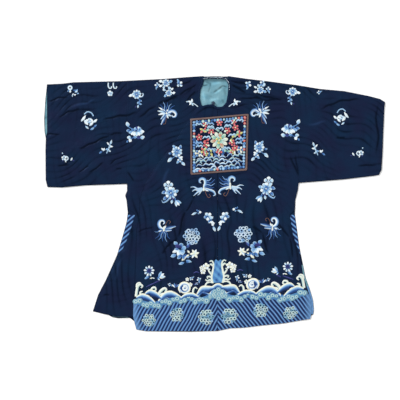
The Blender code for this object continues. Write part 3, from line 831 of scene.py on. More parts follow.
def make_overlap():
    half = GAP / 2
    neck = [*OVERLAP_NECK[:-1], Point(CENTRE_SEAM - half, OVERLAP_NECK[-1].y)]
    hem = [*OVERLAP_HEM[:-1], Point(CENTRE_SEAM - half, OVERLAP_HEM[-1].y)]
    return flat_wall("overlap_silk", patch(CLOSING_EDGE[::-1], [hem[-1], neck[-1]], hem, neck), overlap_top)


# The lining's strips, each between a side nearer the middle and one nearer the edge
NECK_LINING_SIDES = (line((-74, 392), (-62, 528)), line((78, 390), (72, 528)))
HEM_LINING_SIDES = (line((-424, -474), (-424, -462)), line((-356, -479), (-356, -462)))
CUFF_LINING_END = 262.0
CUFF_LINING_TOP = 488.0
CUFF_LINING_INNER = -684.0
CUFF_LINING_INSET = 1.5
VENT_LINING_TOP = -174.0
VENT_LINING_WIDTH = 15.0
LINING_INSET = 1.0

# Wrinkles of the lining that shows in the neck
NECK_WRINKLES = folds(
    (-48, 494, -22, 498, 3, -1.5), (-36, 510, -12, 503, 4, -1.0), (-12, 508, -14, 488, 3, -1.0),
    (-14, 490, -22, 466, 3, -0.9), (-2, 464, 21, 480, 4, -1.3), (18, 477, 39, 495, 4, -1.6),
    (35, 495, 58, 489, 3, -1.5), (44, 486, 52, 450, 5, -0.8), (36, 440, 44, 418, 4, -0.8),
    (-24, 452, -2, 446, 4, -0.5), (-10, 499, 34, 507, 6, 1.2), (4, 458, 34, 480, 5, 1.0),
    (-44, 470, -36, 430, 7, 1.0), (-20, 430, 24, 440, 6, 0.9),
)
NECK_LINING_REACH = (62.0, 46.0)


def neck_wrinkles(x, y):
    raised = np.zeros(np.shape(x))
    for wrinkle in NECK_WRINKLES:
        share, away = along_fold(wrinkle, x, y)
        raised += wrinkle.height * np.sin(np.pi * share) ** 0.7 * np.exp(-((away / wrinkle.width) ** 2))
    return raised


def neck_shade(x, y):
    """Painted shade: darker in the wrinkles and along the back, under the binding, and a little lighter on
    the wrinkles' ridges as painted highlight.
    """
    return np.clip(0.52 + neck_wrinkles(x, y) / 3.4 - 0.36 * ease(507.0, 516.0, y), 0.0, 1.0)


def neck_lining_top(x, y):
    """The lining lies flat under the fronts and is wrinkled inside the neck."""
    raised = np.maximum(1.2 + neck_wrinkles(x, y), 0.0)
    inside = ease(*NECK_LINING_REACH, np.hypot((x - NECK_MIDDLE.x) * 1.1, y - NECK_MIDDLE.y))
    return LINING_TOP + raised * inside


def lining_strip(node, near, far, top, **form):
    """A piece of lining between two lines that are read from v 0 to 1, under its node's name."""
    flat = patch(near, far, [near[0], far[0]], [near[-1], far[-1]])
    return node, flat_wall(node + "_silk", flat, top, **form)


def level_lining(x, y):
    return np.full(np.shape(x), LINING_TOP)


def make_linings():
    cuff = [point for point in RIGHT_CUFF_BACK[::-1] if CUFF_LINING_END < point.y < CUFF_LINING_TOP]
    cuff_outer = [
        Point(RIGHT_CUFF_BACK[4].x + CUFF_LINING_INSET, CUFF_LINING_END),
        *moved(cuff, CUFF_LINING_INSET, 0.0),
        Point(RIGHT_CUFF_BACK[0].x + CUFF_LINING_INSET, CUFF_LINING_TOP),
    ]
    cuff_inner = line((CUFF_LINING_INNER, CUFF_LINING_END), (CUFF_LINING_INNER, CUFF_LINING_TOP))
    vent = [point for point in LEFT_SIDE_BACK[::-1] if point.y < VENT_LINING_TOP]
    vent_outer = moved(vent, -LINING_INSET, LINING_INSET)
    vent_inner = moved(vent_outer, -VENT_LINING_WIDTH, 0.0)
    return (
        lining_strip("neck_lining", *NECK_LINING_SIDES, neck_lining_top, shade_of=neck_shade),
        lining_strip("hem_lining", *HEM_LINING_SIDES, level_lining),
        lining_strip("cuff_lining", cuff_outer, cuff_inner, level_lining),
        lining_strip("vent_lining", vent_inner, vent_outer, level_lining),
    )


# Embroidery

PAD = 0.7
STITCH_LIFT = 0.3
EDGE_DIP = 0.25
LIFT_STEP = 0.06
LIFT_STEPS = 8

Spot = namedtuple("Spot", "x y size turn flip")

# A narrow shape along a line of points, with its width or its widths along the line
Curl = namedtuple("Curl", "width points")


def tones_at(names, share):
    """Colours along a run of named threads, at shares from 0 to 1."""
    stops = np.linspace(0.0, 1.0, len(names))
    colours = np.array([THREADS[name] for name in names])
    return np.stack([np.interp(share, stops, colours[:, part]) for part in range(3)], axis=-1)


def smooth_line(points, count):
    """A soft curve through a few points, as an even run of count points."""
    given = np.array(points, float)
    padded = np.vstack((2 * given[0] - given[1], given, 2 * given[-1] - given[-2]))
    places = np.linspace(0.0, len(given) - 1.0, count)
    start = np.minimum(places.astype(int), len(given) - 2)
    step = (places - start)[:, None]
    before, first, second, after = (padded[start + offset] for offset in range(4))
    return 0.5 * (
        2 * first + (second - before) * step
        + (2 * before - 5 * first + 4 * second - after) * step ** 2
        + (3 * first - before - 3 * second + after) * step ** 3
    )


def sides_of(path):
    """Unit vectors to the left of a run of points."""
    ways = np.gradient(path, axis=0)
    ways /= np.maximum(np.linalg.norm(ways, axis=1, keepdims=True), 1e-9)
    return np.column_stack((-ways[:, 1], ways[:, 0]))


class Stitching:
    """Raised stitches on the robe, gathered in one mesh with their thread colours."""

    def __init__(self, name, top, warp=None):
        self.name = name
        self.top = top
        self.warp = warp
        self.form = bmesh.new()
        self.colour = self.form.verts.layers.float_color.new(THREAD_COLOUR)
        self.course = self.form.loops.layers.uv.new(STITCH_COURSE)
        self.spots = []
        self.count = 0
        self.base = 0.0

    def lift(self):
        """The next small step in height, so that shapes sewn over each other don't share a level."""
        self.count += 1
        return self.base + STITCH_LIFT + LIFT_STEP * (self.count % LIFT_STEPS)

    def add(self, columns, rows, place, shade, width, length):
        """A grid of stitches. place(u, v) gives x, y and height over the cloth, shade(u, v) the
        colours, and width and length are its size along u and v for the course of the threads."""
        made = bmesh.ops.create_grid(self.form, x_segments=columns, y_segments=rows, size=0.5)["verts"]
        u, v = (np.array([vertex.co[:2] for vertex in made]) + 0.5).T
        self.spots.append(np.column_stack(place(u, v)))
        course = {}
        for vertex, tone, across, along in zip(made, shade(u, v), u * width, v * length):
            vertex[self.colour] = (*tone, 1.0)
            course[vertex] = (across, along)
        for face in {face for vertex in made for face in vertex.link_faces}:
            for loop in face.loops:
                loop[self.course].uv = course[loop.vert]

    def leaf(self, x, y, length, width, turn, tones, bend=0.0, fullness=1.0, blunt=0.8):
        """A leaf or petal from its foot at x, y. fullness over 1 sets its widest part nearer the
        tip, and a low blunt rounds its ends."""
        lift = self.lift()
        way_x, way_y = math.cos(math.radians(turn)), math.sin(math.radians(turn))

        def place(u, v):
            across = 1 - 2 * u
            half = width / 2 * np.sin(np.pi * np.clip(v, 0.02, 0.98) ** fullness) ** blunt
            along = v * length
            side = across * half + bend * length * v ** 2
            raised = lift + PAD * (1 - across ** 2) * np.sin(np.pi * v) - EDGE_DIP * (np.abs(across) > 0.99)
            return x + along * way_x - side * way_y, y + along * way_y + side * way_x, raised

        def shade(u, v):
            edge = np.abs(1 - 2 * u)
            return tones_at(tones, np.clip(v * 0.8 + edge ** 2 * 0.35, 0.0, 1.0))

        self.add(4, 6, place, shade, width, length)

    def disc(self, x, y, radius, rings, squash=1.0, turn=0.0, pad=PAD, columns=12):
        """A round patch. rings are pairs of a share of the radius and a thread name, from the middle."""
        lift = self.lift()
        reach = np.array([ring[0] for ring in rings])
        tones = np.array([THREADS[ring[1]] for ring in rings])
        cos, sin = math.cos(math.radians(turn)), math.sin(math.radians(turn))

        def place(u, v):
            out = reach[np.rint(v * (len(rings) - 1)).astype(int)] * radius
            angle = 2 * np.pi * u
            along, side = out * np.cos(angle), -out * np.sin(angle) * squash
            raised = lift + pad * (1 - (out / radius) ** 4) - EDGE_DIP * (v > 0.99)
            return x + along * cos - side * sin, y + along * sin + side * cos, raised

        def shade(u, v):
            return tones[np.rint(v * (len(rings) - 1)).astype(int)]

        self.add(columns, len(rings) - 1, place, shade, 2 * math.pi * radius, radius)

    def strip(self, points, widths, tones, rows=None, pad=PAD, columns=4, shift=0.0):
        """A band of stitches along a soft curve, with thread names from its right to its left side.
        shift 1 lays the band to the right of the curve and -1 to its left."""
        lift = self.lift()
        count = rows or max(4, 3 * (len(points) - 1))
        path = smooth_line(points, count + 1)
        sides = sides_of(path)
        wide = np.interp(np.linspace(0, 1, count + 1), np.linspace(0, 1, len(widths)), widths)
        length = float(np.hypot(*np.diff(path, axis=0).T).sum())

        def place(u, v):
            step = np.rint(v * count).astype(int)
            across = 1 - 2 * u
            side = ((across - shift) * wide[step] / 2)[:, None] * sides[step]
            spot = path[step] + side
            raised = lift + pad * (1 - across ** 2) - EDGE_DIP * (np.abs(across) > 0.99)
            return spot[:, 0], spot[:, 1], raised

        def shade(u, v):
            return tones_at(tones, 1 - u)

        self.add(columns, count, place, shade, float(np.mean(widths)), length)

    def end(self):
        """The finished piece, laid on the cloth with every face turned up and closed seams."""
        x, y, height = np.vstack(self.spots).T
        if self.warp:
            x, y = self.warp(x, y)
        for vertex, spot in zip(self.form.verts, located(np.column_stack((x, y, self.top(x, y) + height)))):
            vertex.co = spot
        bmesh.ops.remove_doubles(self.form, verts=self.form.verts, dist=MERGE_DISTANCE)
        self.form.normal_update()
        down = [face for face in self.form.faces if face.normal.z < 0]
        bmesh.ops.reverse_faces(self.form, faces=down)
        mesh = bpy.data.meshes.new(self.name)
        self.form.to_mesh(mesh)
        self.form.free()
        mesh.shade_smooth()
        return bpy.data.objects.new(self.name, mesh)


def at(spot, x, y):
    """A place of a motif's own measure on the robe."""
    if spot.flip:
        x = -x
    cos, sin = math.cos(math.radians(spot.turn)), math.sin(math.radians(spot.turn))
    return spot.x + spot.size * (x * cos - y * sin), spot.y + spot.size * (x * sin + y * cos)


def turned(spot, angle):
    return spot.turn + (180.0 - angle if spot.flip else angle)


def side_of(spot):
    return -1.0 if spot.flip else 1.0


# Leaves and petals of a motif, in its own size from its middle
Leaf = namedtuple("Leaf", "x y length width turn tones", defaults=("ice",))

LEAF_TONES = {
    "white": ("ice", "white", "white"),
    "ice": ("sky", "ice", "white"),
    "blue": ("deep", "mid", "ice"),
    "sky": ("mid", "sky", "ice"),
    "deep": ("deep", "mid", "sky"),
    "violet": ("violet", "violet", "lilac"),
    "cream": ("foam", "cream", "white"),
    "coral": ("red", "coral", "rose"),
    "sea": ("pine", "sea", "cream"),
    "olive": ("pine", "olive", "cream"),
    "mist": ("cloud", "foam", "cream"),
    "sand": ("coral", "tan", "foam"),
    "night": ("royal", "deep", "mid"),
    "pale": ("foam", "white", "white"),
}


def sew_leaf(work, spot, leaf, bend=0.0, fullness=1.0, blunt=0.6):
    x, y = at(spot, leaf.x, leaf.y)
    work.leaf(
        x, y, leaf.length * spot.size, leaf.width * spot.size, turned(spot, leaf.turn),
        LEAF_TONES[leaf.tones], bend=bend * side_of(spot), fullness=fullness, blunt=blunt,
    )


def sew_leaves(work, spot, *leaves, blunt=0.8):
    """Leaves that bend a little, from rows of a Leaf's values."""
    for leaf in leaves:
        sew_leaf(work, spot, Leaf(*leaf), bend=0.12, blunt=blunt)


def sew_curve(work, spot, points, widths, tones, **form):
    """A band of stitches along a curve in the motif's own measure."""
    work.strip([at(spot, *point) for point in points], [spot.size * width for width in widths], tones, **form)


def sew_band(work, spot, points, width, tones, taper=True):
    """A stem, hook or feeler."""
    sew_curve(work, spot, points, (width, width, width * (0.35 if taper else 1.0)), tones)


def sew_disc(work, spot, x, y, radius, rings, columns=8, **form):
    work.disc(*at(spot, x, y), radius * spot.size, rings, columns=columns, **form)


def sew_petals(work, spot, x, y, count, foot, length, width, tones, start=0.0, fullness=1.5):
    """A ring of petals round a middle."""
    for petal in range(count):
        angle = start + 360.0 * petal / count
        way = math.radians(angle)
        px, py = x + foot * math.cos(way), y + foot * math.sin(way)
        sew_leaf(work, spot, Leaf(px, py, length, width, angle, tones[petal % len(tones)]), fullness=fullness)


def sew_eye(work, spot, x, y, radius, inner="sky"):
    sew_disc(work, spot, x, y, radius, [(0.0, inner), (0.5, inner), (0.7, "white"), (1.0, "white")])


def sew_bloom(work, spot, x, y, radius, start=20.0):
    """A full flower: a rim of small pale petals, a darker inner ring and a pale eye."""
    rims = (0.46 * radius, 0.56 * radius, 0.5 * radius)
    sew_petals(work, spot, x, y, 9, *rims, ("ice", "white", "ice"), start, 1.3)
    middles = (0.12 * radius, 0.48 * radius, 0.44 * radius)
    sew_petals(work, spot, x, y, 6, *middles, ("deep", "blue", "sky"), start + 30.0)
    sew_eye(work, spot, x, y, 0.15 * radius)


def sew_blossom(work, spot):
    """A small five-petalled blossom."""
    sew_petals(work, spot, 0.0, 0.0, 5, 0.12, 0.88, 0.78, ("cream", "white"), 90.0)
    sew_eye(work, spot, 0.0, 0.0, 0.22, inner="gold")


def sew_bud(work, spot, x, y, turn, size):
    """A bud: two side petals round a pale middle one, and a small calyx."""
    way = math.radians(turn)
    for side, tone in ((28.0, "sky"), (-28.0, "ice"), (0.0, "white")):
        sew_leaf(work, spot, Leaf(x, y, size, 0.42 * size, turn + side, tone), blunt=0.7)
    px, py = x - 0.1 * size * math.cos(way), y - 0.1 * size * math.sin(way)
    sew_disc(work, spot, px, py, 0.17 * size, [(0.0, "mid"), (1.0, "deep")])


def peony_spray(work, spot):
    """A wide peony seen from its side over a row of small round leaves."""
    sew_band(work, spot, [(-0.3, 0.3), (-0.62, 0.45), (-0.75, 0.7)], 0.08, ("mid", "sky"))
    sew_band(work, spot, [(-0.5, -0.75), (-0.1, -0.62), (0.5, -0.68)], 0.1, ("deep", "mid"))
    sew_leaves(
        work, spot,
        (-0.72, 0.5, 0.52, 0.38, 100, "ice"),
        (-0.5, 0.1, 0.42, 0.3, 172, "blue"),
        (-0.45, -0.62, 0.4, 0.34, 165, "ice"),
        (-0.42, -0.7, 0.4, 0.34, 235, "white"),
        (-0.7, -0.9, 0.28, 0.2, 220, "deep"),
        (-0.2, -0.55, 0.36, 0.28, 350, "sky"),
        (0.15, -0.5, 0.42, 0.34, 330, "violet"),
        (0.5, -0.62, 0.46, 0.38, 5, "ice"),
    )
    for petal, tone in enumerate(("sky", "blue", "ice", "violet", "sky", "blue")):
        way = math.radians(60.0 * petal / 5)
        px, py = 0.1 + 0.2 * math.cos(way), 0.05 + 0.16 * math.sin(way)
        sew_leaf(work, spot, Leaf(px, py, 0.42, 0.3, 20 + 32 * petal, tone), fullness=1.4)
    for petal, tone in enumerate(("sky", "white", "white", "ice", "white", "ice", "white")):
        px, py = -0.22 + 0.11 * petal, 0.08 - 0.06 * math.sin(petal * math.pi / 6)
        sew_leaf(work, spot, Leaf(px, py, 0.48, 0.3, 205 + 24 * petal, tone), fullness=1.5)
    sew_leaves(
        work, spot,
        (-0.1, 0.1, 0.36, 0.26, 140, "deep"),
        (0.05, 0.05, 0.34, 0.26, 75, "violet"),
        (0.15, 0.02, 0.34, 0.24, 15, "sky"),
    )


def trailing_spray(work, spot):
    sew_band(work, spot, [(0.1, 0.1), (0.3, -0.35), (0.28, -0.75), (0.12, -1.05)], 0.08, ("mid", "sky"))
    sew_leaves(
        work, spot,
        (-0.4, 0.25, 0.5, 0.3, 190, "white"),
        (0.3, -0.3, 0.32, 0.22, 320, "blue"),
        (0.3, -0.5, 0.34, 0.22, 215, "sky"),
        (0.28, -0.7, 0.3, 0.2, 330, "sky"),
        (0.2, -0.85, 0.36, 0.2, 250, "ice"),
        (-0.1, -0.95, 0.24, 0.12, 250, "violet"),
    )
    sew_bloom(work, spot, 0.0, 0.3, 0.5, start=50.0)
    sew_band(work, spot, [(0.4, 0.0), (0.66, 0.12), (0.72, 0.38), (0.55, 0.42)], 0.13, ("sky", "white"))


def forked_spray(work, spot):
    sew_band(work, spot, [(0.1, 0.4), (0.0, 0.0), (-0.45, -0.4)], 0.08, ("mid", "sky"))
    sew_band(work, spot, [(0.0, 0.05), (0.3, -0.35), (0.55, -0.7)], 0.07, ("mid", "sky"))
    sew_leaves(
        work, spot,
        (-0.35, -0.25, 0.55, 0.3, 215, "ice"),
        (-0.1, 0.6, 0.36, 0.24, 115, "sky"),
        (0.3, 0.55, 0.4, 0.26, 60, "blue"),
        (0.3, -0.3, 0.34, 0.24, 20, "white"),
        (0.3, -0.5, 0.36, 0.22, 220, "sky"),
        (0.5, -0.6, 0.46, 0.26, 305, "ice"),
        (-0.4, 0.1, 0.3, 0.2, 160, "blue"),
    )
    sew_bloom(work, spot, 0.08, 0.3, 0.48)
    sew_petals(work, spot, 0.36, -0.42, 4, 0.04, 0.2, 0.18, ("white", "ice"), 10.0)


def bud_spray(work, spot):
    sew_band(work, spot, [(0.0, -0.2), (-0.25, -0.6), (-0.6, -0.78), (-0.72, -0.6)], 0.13, ("mid", "ice"))
    sew_band(work, spot, [(0.1, -0.1), (0.35, -0.4), (0.45, -0.6)], 0.07, ("mid", "sky"))
    sew_leaves(
        work, spot,
        (-0.35, 0.1, 0.4, 0.28, 190, "blue"),
        (0.32, 0.1, 0.36, 0.26, 10, "sky"),
        (0.15, -0.55, 0.34, 0.2, 250, "ice"),
        (-0.3, -0.3, 0.4, 0.26, 215, "blue"),
        (0.1, -0.3, 0.3, 0.22, 280, "violet"),
    )
    sew_petals(work, spot, -0.18, 0.6, 5, 0.1, 0.3, 0.32, ("ice", "white", "ice"), 20.0)
    sew_bloom(work, spot, 0.02, 0.0, 0.5, start=60.0)
    sew_eye(work, spot, -0.18, 0.6, 0.1)
    sew_bud(work, spot, 0.42, -0.6, 305, 0.52)


def turned_spot(spot, angle):
    """The same spot turned by an angle of its own measure."""
    return spot._replace(turn=spot.turn + (-angle if spot.flip else angle))


TAILS = [
    Curl(0.12, [(-0.1, 0.02), (-0.42, -0.02), (-0.62, -0.18), (-0.9, -0.12)]),
    Curl(0.13, [(-0.1, -0.05), (-0.38, -0.3), (-0.5, -0.6), (-0.85, -0.85)]),
    Curl(0.13, [(-0.05, -0.1), (-0.25, -0.45), (-0.28, -0.75), (-0.5, -1.0)]),
    Curl(0.13, [(0.0, -0.12), (-0.02, -0.5), (-0.12, -0.8), (-0.08, -1.15)]),
    Curl(0.13, [(0.03, -0.12), (0.2, -0.45), (0.16, -0.8), (0.36, -1.2)]),
    Curl(0.12, [(0.08, -0.08), (0.36, -0.32), (0.42, -0.66), (0.68, -0.9)]),
]
CURLED_WING = [
    (-0.02, 0.1), (-0.36, 0.3), (-0.48, 0.66), (-0.32, 0.98), (0.0, 1.0), (0.12, 0.76), (-0.04, 0.6),
]
CURL_WIDTHS = (0.2, 0.32, 0.34, 0.28, 0.22, 0.16, 0.08)
LONG_WING_WIDTHS = (0.17, 0.34, 0.289, 0.136)


def tones_for(spot, tones):
    """Tones across a band, with the same ones on the outside when the motif is mirrored."""
    return tones[::-1] if spot.flip else tones


def sew_beads(work, spot):
    """A butterfly's body."""
    rings = [(0.0, "white"), (0.7, "cream"), (1.0, "ice")]
    for y in (0.28, 0.12, -0.04, -0.2):
        sew_disc(work, spot, 0.05 + 0.1 * y, y, 0.12, rings)


def winged(work, spot, curl, long_wing, tails, feelers):
    """A butterfly. Its curled wing, long wing, tails and feelers are each turned by their own angle."""
    turned = turned_spot(spot, tails)
    for index, tail in enumerate(TAILS):
        tones = ("royal", "deep", "mid") if index % 2 else ("deep", "mid", "ice")
        sew_band(work, turned, tail.points, tail.width, tones)
    turned = turned_spot(spot, long_wing)
    tones = tones_for(spot, ("white", "sky", "deep", "royal"))
    for start, end in (((0.05, 0.1), (1.25, 0.42)), ((0.08, -0.02), (0.85, 0.02))):
        middle = (0.55 * start[0] + 0.45 * end[0], 0.6 * start[1] + 0.4 * end[1] + 0.04)
        sew_curve(work, turned, (start, middle, end), LONG_WING_WIDTHS, tones, rows=12, columns=6)
    sew_leaves(work, turned, (0.05, 0.05, 0.5, 0.2, 60, "white"), (-0.1, 0.0, 0.42, 0.2, 190, "white"))
    tones = tones_for(spot, ("white", "white", "sky", "deep"))
    sew_curve(work, turned_spot(spot, curl), CURLED_WING, CURL_WIDTHS, tones, rows=24, columns=6)
    sew_beads(work, spot)
    turned = turned_spot(spot, feelers)
    feeler = [(0.14, 0.3), (0.3, 0.72), (0.52, 1.0), (0.74, 0.86), (0.6, 0.68)]
    sew_band(work, turned, feeler, 0.05, ("umber", "umber"), taper=False)


def resting_butterfly(work, spot):
    winged(work, spot, 0.0, 0.0, 0.0, 0.0)


def climbing_butterfly(work, spot):
    """Tails up, curled wing to its inner side, long wing hanging outwards and a pale fan outwards."""
    sew_leaves(
        work, spot,
        (0.0, 0.1, 0.95, 0.18, 140, "white"),
        (-0.05, 0.05, 0.9, 0.2, 160, "ice"),
        (-0.05, 0.0, 0.8, 0.2, 184, "white"),
        (0.0, -0.05, 0.6, 0.22, 330, "ice"),
    )
    winged(work, spot, 250.0, 228.0, 178.0, 200.0)


HOVER_FAN = [
    Curl(0.16, [(-0.1, 0.0), (-0.6, -0.06), (-0.95, 0.12), (-1.33, 0.08)]),
    Curl(0.19, [(-0.1, -0.05), (-0.55, -0.2), (-0.85, -0.15), (-1.16, -0.34)]),
    Curl(0.19, [(-0.1, -0.1), (-0.45, -0.3), (-0.7, -0.5), (-1.02, -0.8)]),
    Curl(0.16, [(-0.05, -0.12), (-0.3, -0.35), (-0.4, -0.55), (-0.6, -0.74)]),
]
HOVER_TAILS = [
    Curl(0.13, [(0.1, 0.1), (0.5, 0.08), (0.8, -0.04), (1.08, 0.1)]),
    Curl(0.15, [(0.1, 0.2), (0.45, 0.32), (0.78, 0.22), (1.15, 0.46)]),
    Curl(0.16, [(0.1, 0.3), (0.42, 0.52), (0.75, 0.48), (1.18, 0.9)]),
    Curl(0.15, [(0.12, 0.4), (0.36, 0.72), (0.58, 0.74), (0.84, 1.04)]),
]
HOVER_CURL = Curl((0.2, 0.3, 0.3, 0.28, 0.24, 0.16, 0.08), [
    (0.06, 0.05), (0.2, 0.5), (0.14, 0.84), (-0.12, 0.98), (-0.38, 0.86), (-0.42, 0.6), (-0.24, 0.5),
])
HOVER_HOOK = Curl((0.14, 0.24, 0.24, 0.18, 0.08), [
    (0.1, -0.02), (0.6, -0.2), (1.0, -0.36), (1.18, -0.66), (0.98, -0.8),
])


def hovering_butterfly(work, spot):
    """Curled wing up, tails up and inwards, a fringed wing outwards, and a hooked one and feelers down."""
    for index, tail in enumerate(HOVER_TAILS):
        tones = ("deep", "mid", "ice") if index % 2 else ("deep", "deep", "mid")
        sew_band(work, spot, tail.points, tail.width, tones)
    for strand in HOVER_FAN:
        sew_band(work, spot, strand.points, strand.width, ("mid", "ice", "white"))
    for wing in (HOVER_HOOK, HOVER_CURL):
        tones = tones_for(spot, ("deep", "sky", "ice", "white"))
        sew_curve(work, spot, wing.points, wing.width, tones, rows=24, columns=6)
    sew_leaves(work, spot, (-0.05, -0.05, 0.6, 0.24, 215, "white"), (0.1, -0.05, 0.5, 0.2, 320, "white"))
    sew_beads(work, spot)
    feeler = [(0.16, -0.2), (0.26, -0.6), (0.5, -0.98), (0.74, -0.84), (0.56, -0.64)]
    sew_band(work, spot, feeler, 0.06, ("umber", "umber"), taper=False)


def roundel(work, spot, tones=(("sky", "white"), ("mid", "ice"), ("cloud_line", "white"))):
    """A ball of small rings packed like an uneven honeycomb, with a few petals round its rim."""
    pitch = 0.42
    chance = random.Random(int(spot.x))
    for turn in (35, 150, 262, 318):
        angle = turn + chance.uniform(-15, 15)
        px, py = 0.6 * math.cos(math.radians(angle)), 0.56 * math.sin(math.radians(angle))
        sew_leaf(work, spot, Leaf(px, py, 0.42, 0.34, angle, "sky"))
    for row in range(-2, 3):
        for column in range(5 - abs(row)):
            x = (column - (4 - abs(row)) / 2) * pitch
            y = row * pitch * 0.87
            reach = chance.uniform(0.9, 1.02) if math.hypot(x, y) > 0.6 else 1.0
            px, py = x * reach + chance.uniform(-0.07, 0.07), y * reach + chance.uniform(-0.07, 0.07)
            edge, rim = tones[chance.randrange(len(tones))]
            rings = [(0.0, "ground"), (0.34, "ground"), (0.48, edge), (0.72, rim), (1.0, edge)]
            sew_disc(work, spot, px, py, chance.uniform(0.2, 0.29), rings, columns=10,
                     squash=chance.uniform(0.75, 1.0), turn=chance.uniform(0, 180))


def roundel_tail(work, spot):
    """The flowers and leaves under a roundel."""
    sew_band(work, spot, [(-0.4, 0.1), (0.0, -0.5), (0.5, -0.5), (0.94, -0.24)], 0.08, ("mid", "sky"))
    sew_leaves(
        work, spot,
        (-0.75, 0.55, 0.46, 0.36, 118, "sky"),
        (0.05, 0.35, 0.6, 0.3, 28, "violet"),
        (0.2, 0.3, 0.5, 0.26, 62, "blue"),
        (-0.8, -0.35, 0.58, 0.36, 190, "sky"),
        (-0.3, -0.35, 0.56, 0.36, 215, "blue"),
        (-0.1, -0.3, 0.52, 0.34, 262, "deep"),
        (0.0, -0.3, 0.5, 0.3, 310, "blue"),
        (-0.3, -0.9, 0.62, 0.26, 42, "cream"),
        (-0.05, -1.1, 0.56, 0.26, 188, "sky"),
        (0.1, -0.85, 0.56, 0.26, 335, "sky"),
        (0.1, -1.05, 0.36, 0.2, 10, "deep"),
    )
    tones = ("sky", "blue", "violet", "blue", "ice", "sky")
    sew_petals(work, spot, -0.45, 0.22, 6, 0.1, 0.48, 0.4, tones, 15.0)
    sew_leaves(
        work, spot,
        (-0.55, 0.12, 0.66, 0.32, 192, "white"),
        (-0.5, 0.05, 0.5, 0.34, 240, "white"),
        (-0.35, 0.05, 0.46, 0.32, 285, "ice"),
        (-0.45, 0.3, 0.4, 0.28, 75, "violet"),
        blunt=0.6,
    )
    for turn in (10, 62, 112, 175, 232, 300):
        sew_leaves(work, spot, (0.92, -0.26, 0.46, 0.22, turn, "white" if turn in (62, 232) else "cream"))
    sew_leaves(work, spot, (0.45, -0.2, 0.34, 0.18, 120, "cream"), (0.42, -0.35, 0.44, 0.2, 205, "cream"))


def wheel_flower(work, spot):
    sew_petals(work, spot, 0.0, 0.0, 9, 0.3, 0.5, 0.3, ("white", "ice"), 10.0)
    sew_disc(work, spot, 0.05, 0.08, 0.42, [(0.0, "royal"), (0.5, "violet"), (1.0, "deep")], columns=10)
    sew_leaves(
        work, spot,
        (-0.1, -0.95, 0.4, 0.28, 140, "sky"),
        (-0.2, -1.0, 0.5, 0.3, 190, "sky"),
        (0.1, -1.15, 0.5, 0.18, 12, "cream"),
        (0.5, -1.0, 0.34, 0.18, 330, "white"),
    )
    sew_band(work, spot, [(0.05, -0.7), (-0.05, -0.95), (-0.3, -1.25)], 0.08, ("deep", "mid"))


def wreath(work, spot):
    hoop = [(-0.42, 0.72), (-0.1, 0.98), (0.3, 0.88), (0.52, 0.55)]
    sew_band(work, spot, hoop, 0.12, ("sky", "ice"), taper=False)
    sew_leaves(
        work, spot,
        (-0.75, 0.0, 0.8, 0.26, 46, "white"),
        (-0.4, 0.15, 0.62, 0.3, 300, "white"),
        (-0.45, 0.0, 0.6, 0.22, 15, "white"),
        (0.15, 0.35, 0.55, 0.24, 305, "white"),
        (0.0, -0.1, 0.5, 0.26, 30, "white"),
        (0.5, -0.1, 0.52, 0.24, 32, "white"),
        (0.1, -0.45, 0.6, 0.24, 38, "white"),
        (-0.3, -0.45, 0.44, 0.18, 312, "ice"),
        (0.2, -0.85, 0.46, 0.2, 22, "sky"),
        (0.5, -0.62, 0.46, 0.18, 30, "deep"),
    )
    sew_petals(work, spot, 0.05, 0.05, 5, 0.04, 0.26, 0.2, ("sky", "ice"), 12.0)


def hook_pair(work, spot):
    for left in (0.0, 0.85):
        hook = [(0.0, 0.75), (-0.02, 0.2), (0.2, -0.2), (0.48, -0.12), (0.52, 0.16)]
        hook = [(left + x, y) for x, y in hook]
        sew_band(work, spot, hook, 0.2, ("white", "ice"), taper=False)
    sew_petals(work, spot, 0.3, -1.05, 5, 0.08, 0.4, 0.4, ("ice", "white"), 20.0)
    sew_eye(work, spot, 0.3, -1.05, 0.13)


def cuff_flower(work, spot):
    rings = [(0.0, "ground"), (0.34, "ground"), (0.46, "white"), (1.0, "ice")]
    sew_disc(work, spot, -0.3, 0.45, 0.4, rings, columns=12)
    sew_leaves(
        work, spot,
        (-0.2, 0.05, 0.42, 0.32, 250, "white"),
        (-0.4, 0.0, 0.36, 0.24, 200, "blue"),
        (0.2, 0.05, 0.6, 0.24, 350, "deep"),
        (0.9, 0.25, 0.45, 0.24, 250, "sky"),
        (0.45, -0.25, 0.5, 0.3, 10, "ice"),
        (0.8, -0.4, 0.36, 0.26, 330, "sky"),
        (0.05, -0.75, 0.36, 0.18, 40, "white"),
        (0.3, -0.7, 0.4, 0.24, 355, "white"),
        (0.1, -0.7, 0.34, 0.16, 262, "ice"),
    )


def berry_spray(work, spot):
    sew_petals(work, spot, -0.25, 0.1, 5, 0.06, 0.34, 0.3, ("white", "ice"), 15.0)
    hook = [(-0.1, 0.35), (0.25, 0.3), (0.4, 0.0), (0.15, -0.25), (-0.1, -0.2)]
    sew_band(work, spot, hook, 0.16, ("white", "ice"), taper=False)
    sew_leaves(
        work, spot,
        (-0.45, 0.7, 0.26, 0.18, 100, "ice"),
        (-0.35, -0.15, 0.3, 0.2, 240, "violet"),
        (0.0, -0.25, 0.34, 0.18, 270, "white"),
        (0.75, -0.3, 0.55, 0.24, 48, "white"),
        (1.05, -0.25, 0.34, 0.16, 340, "violet"),
    )


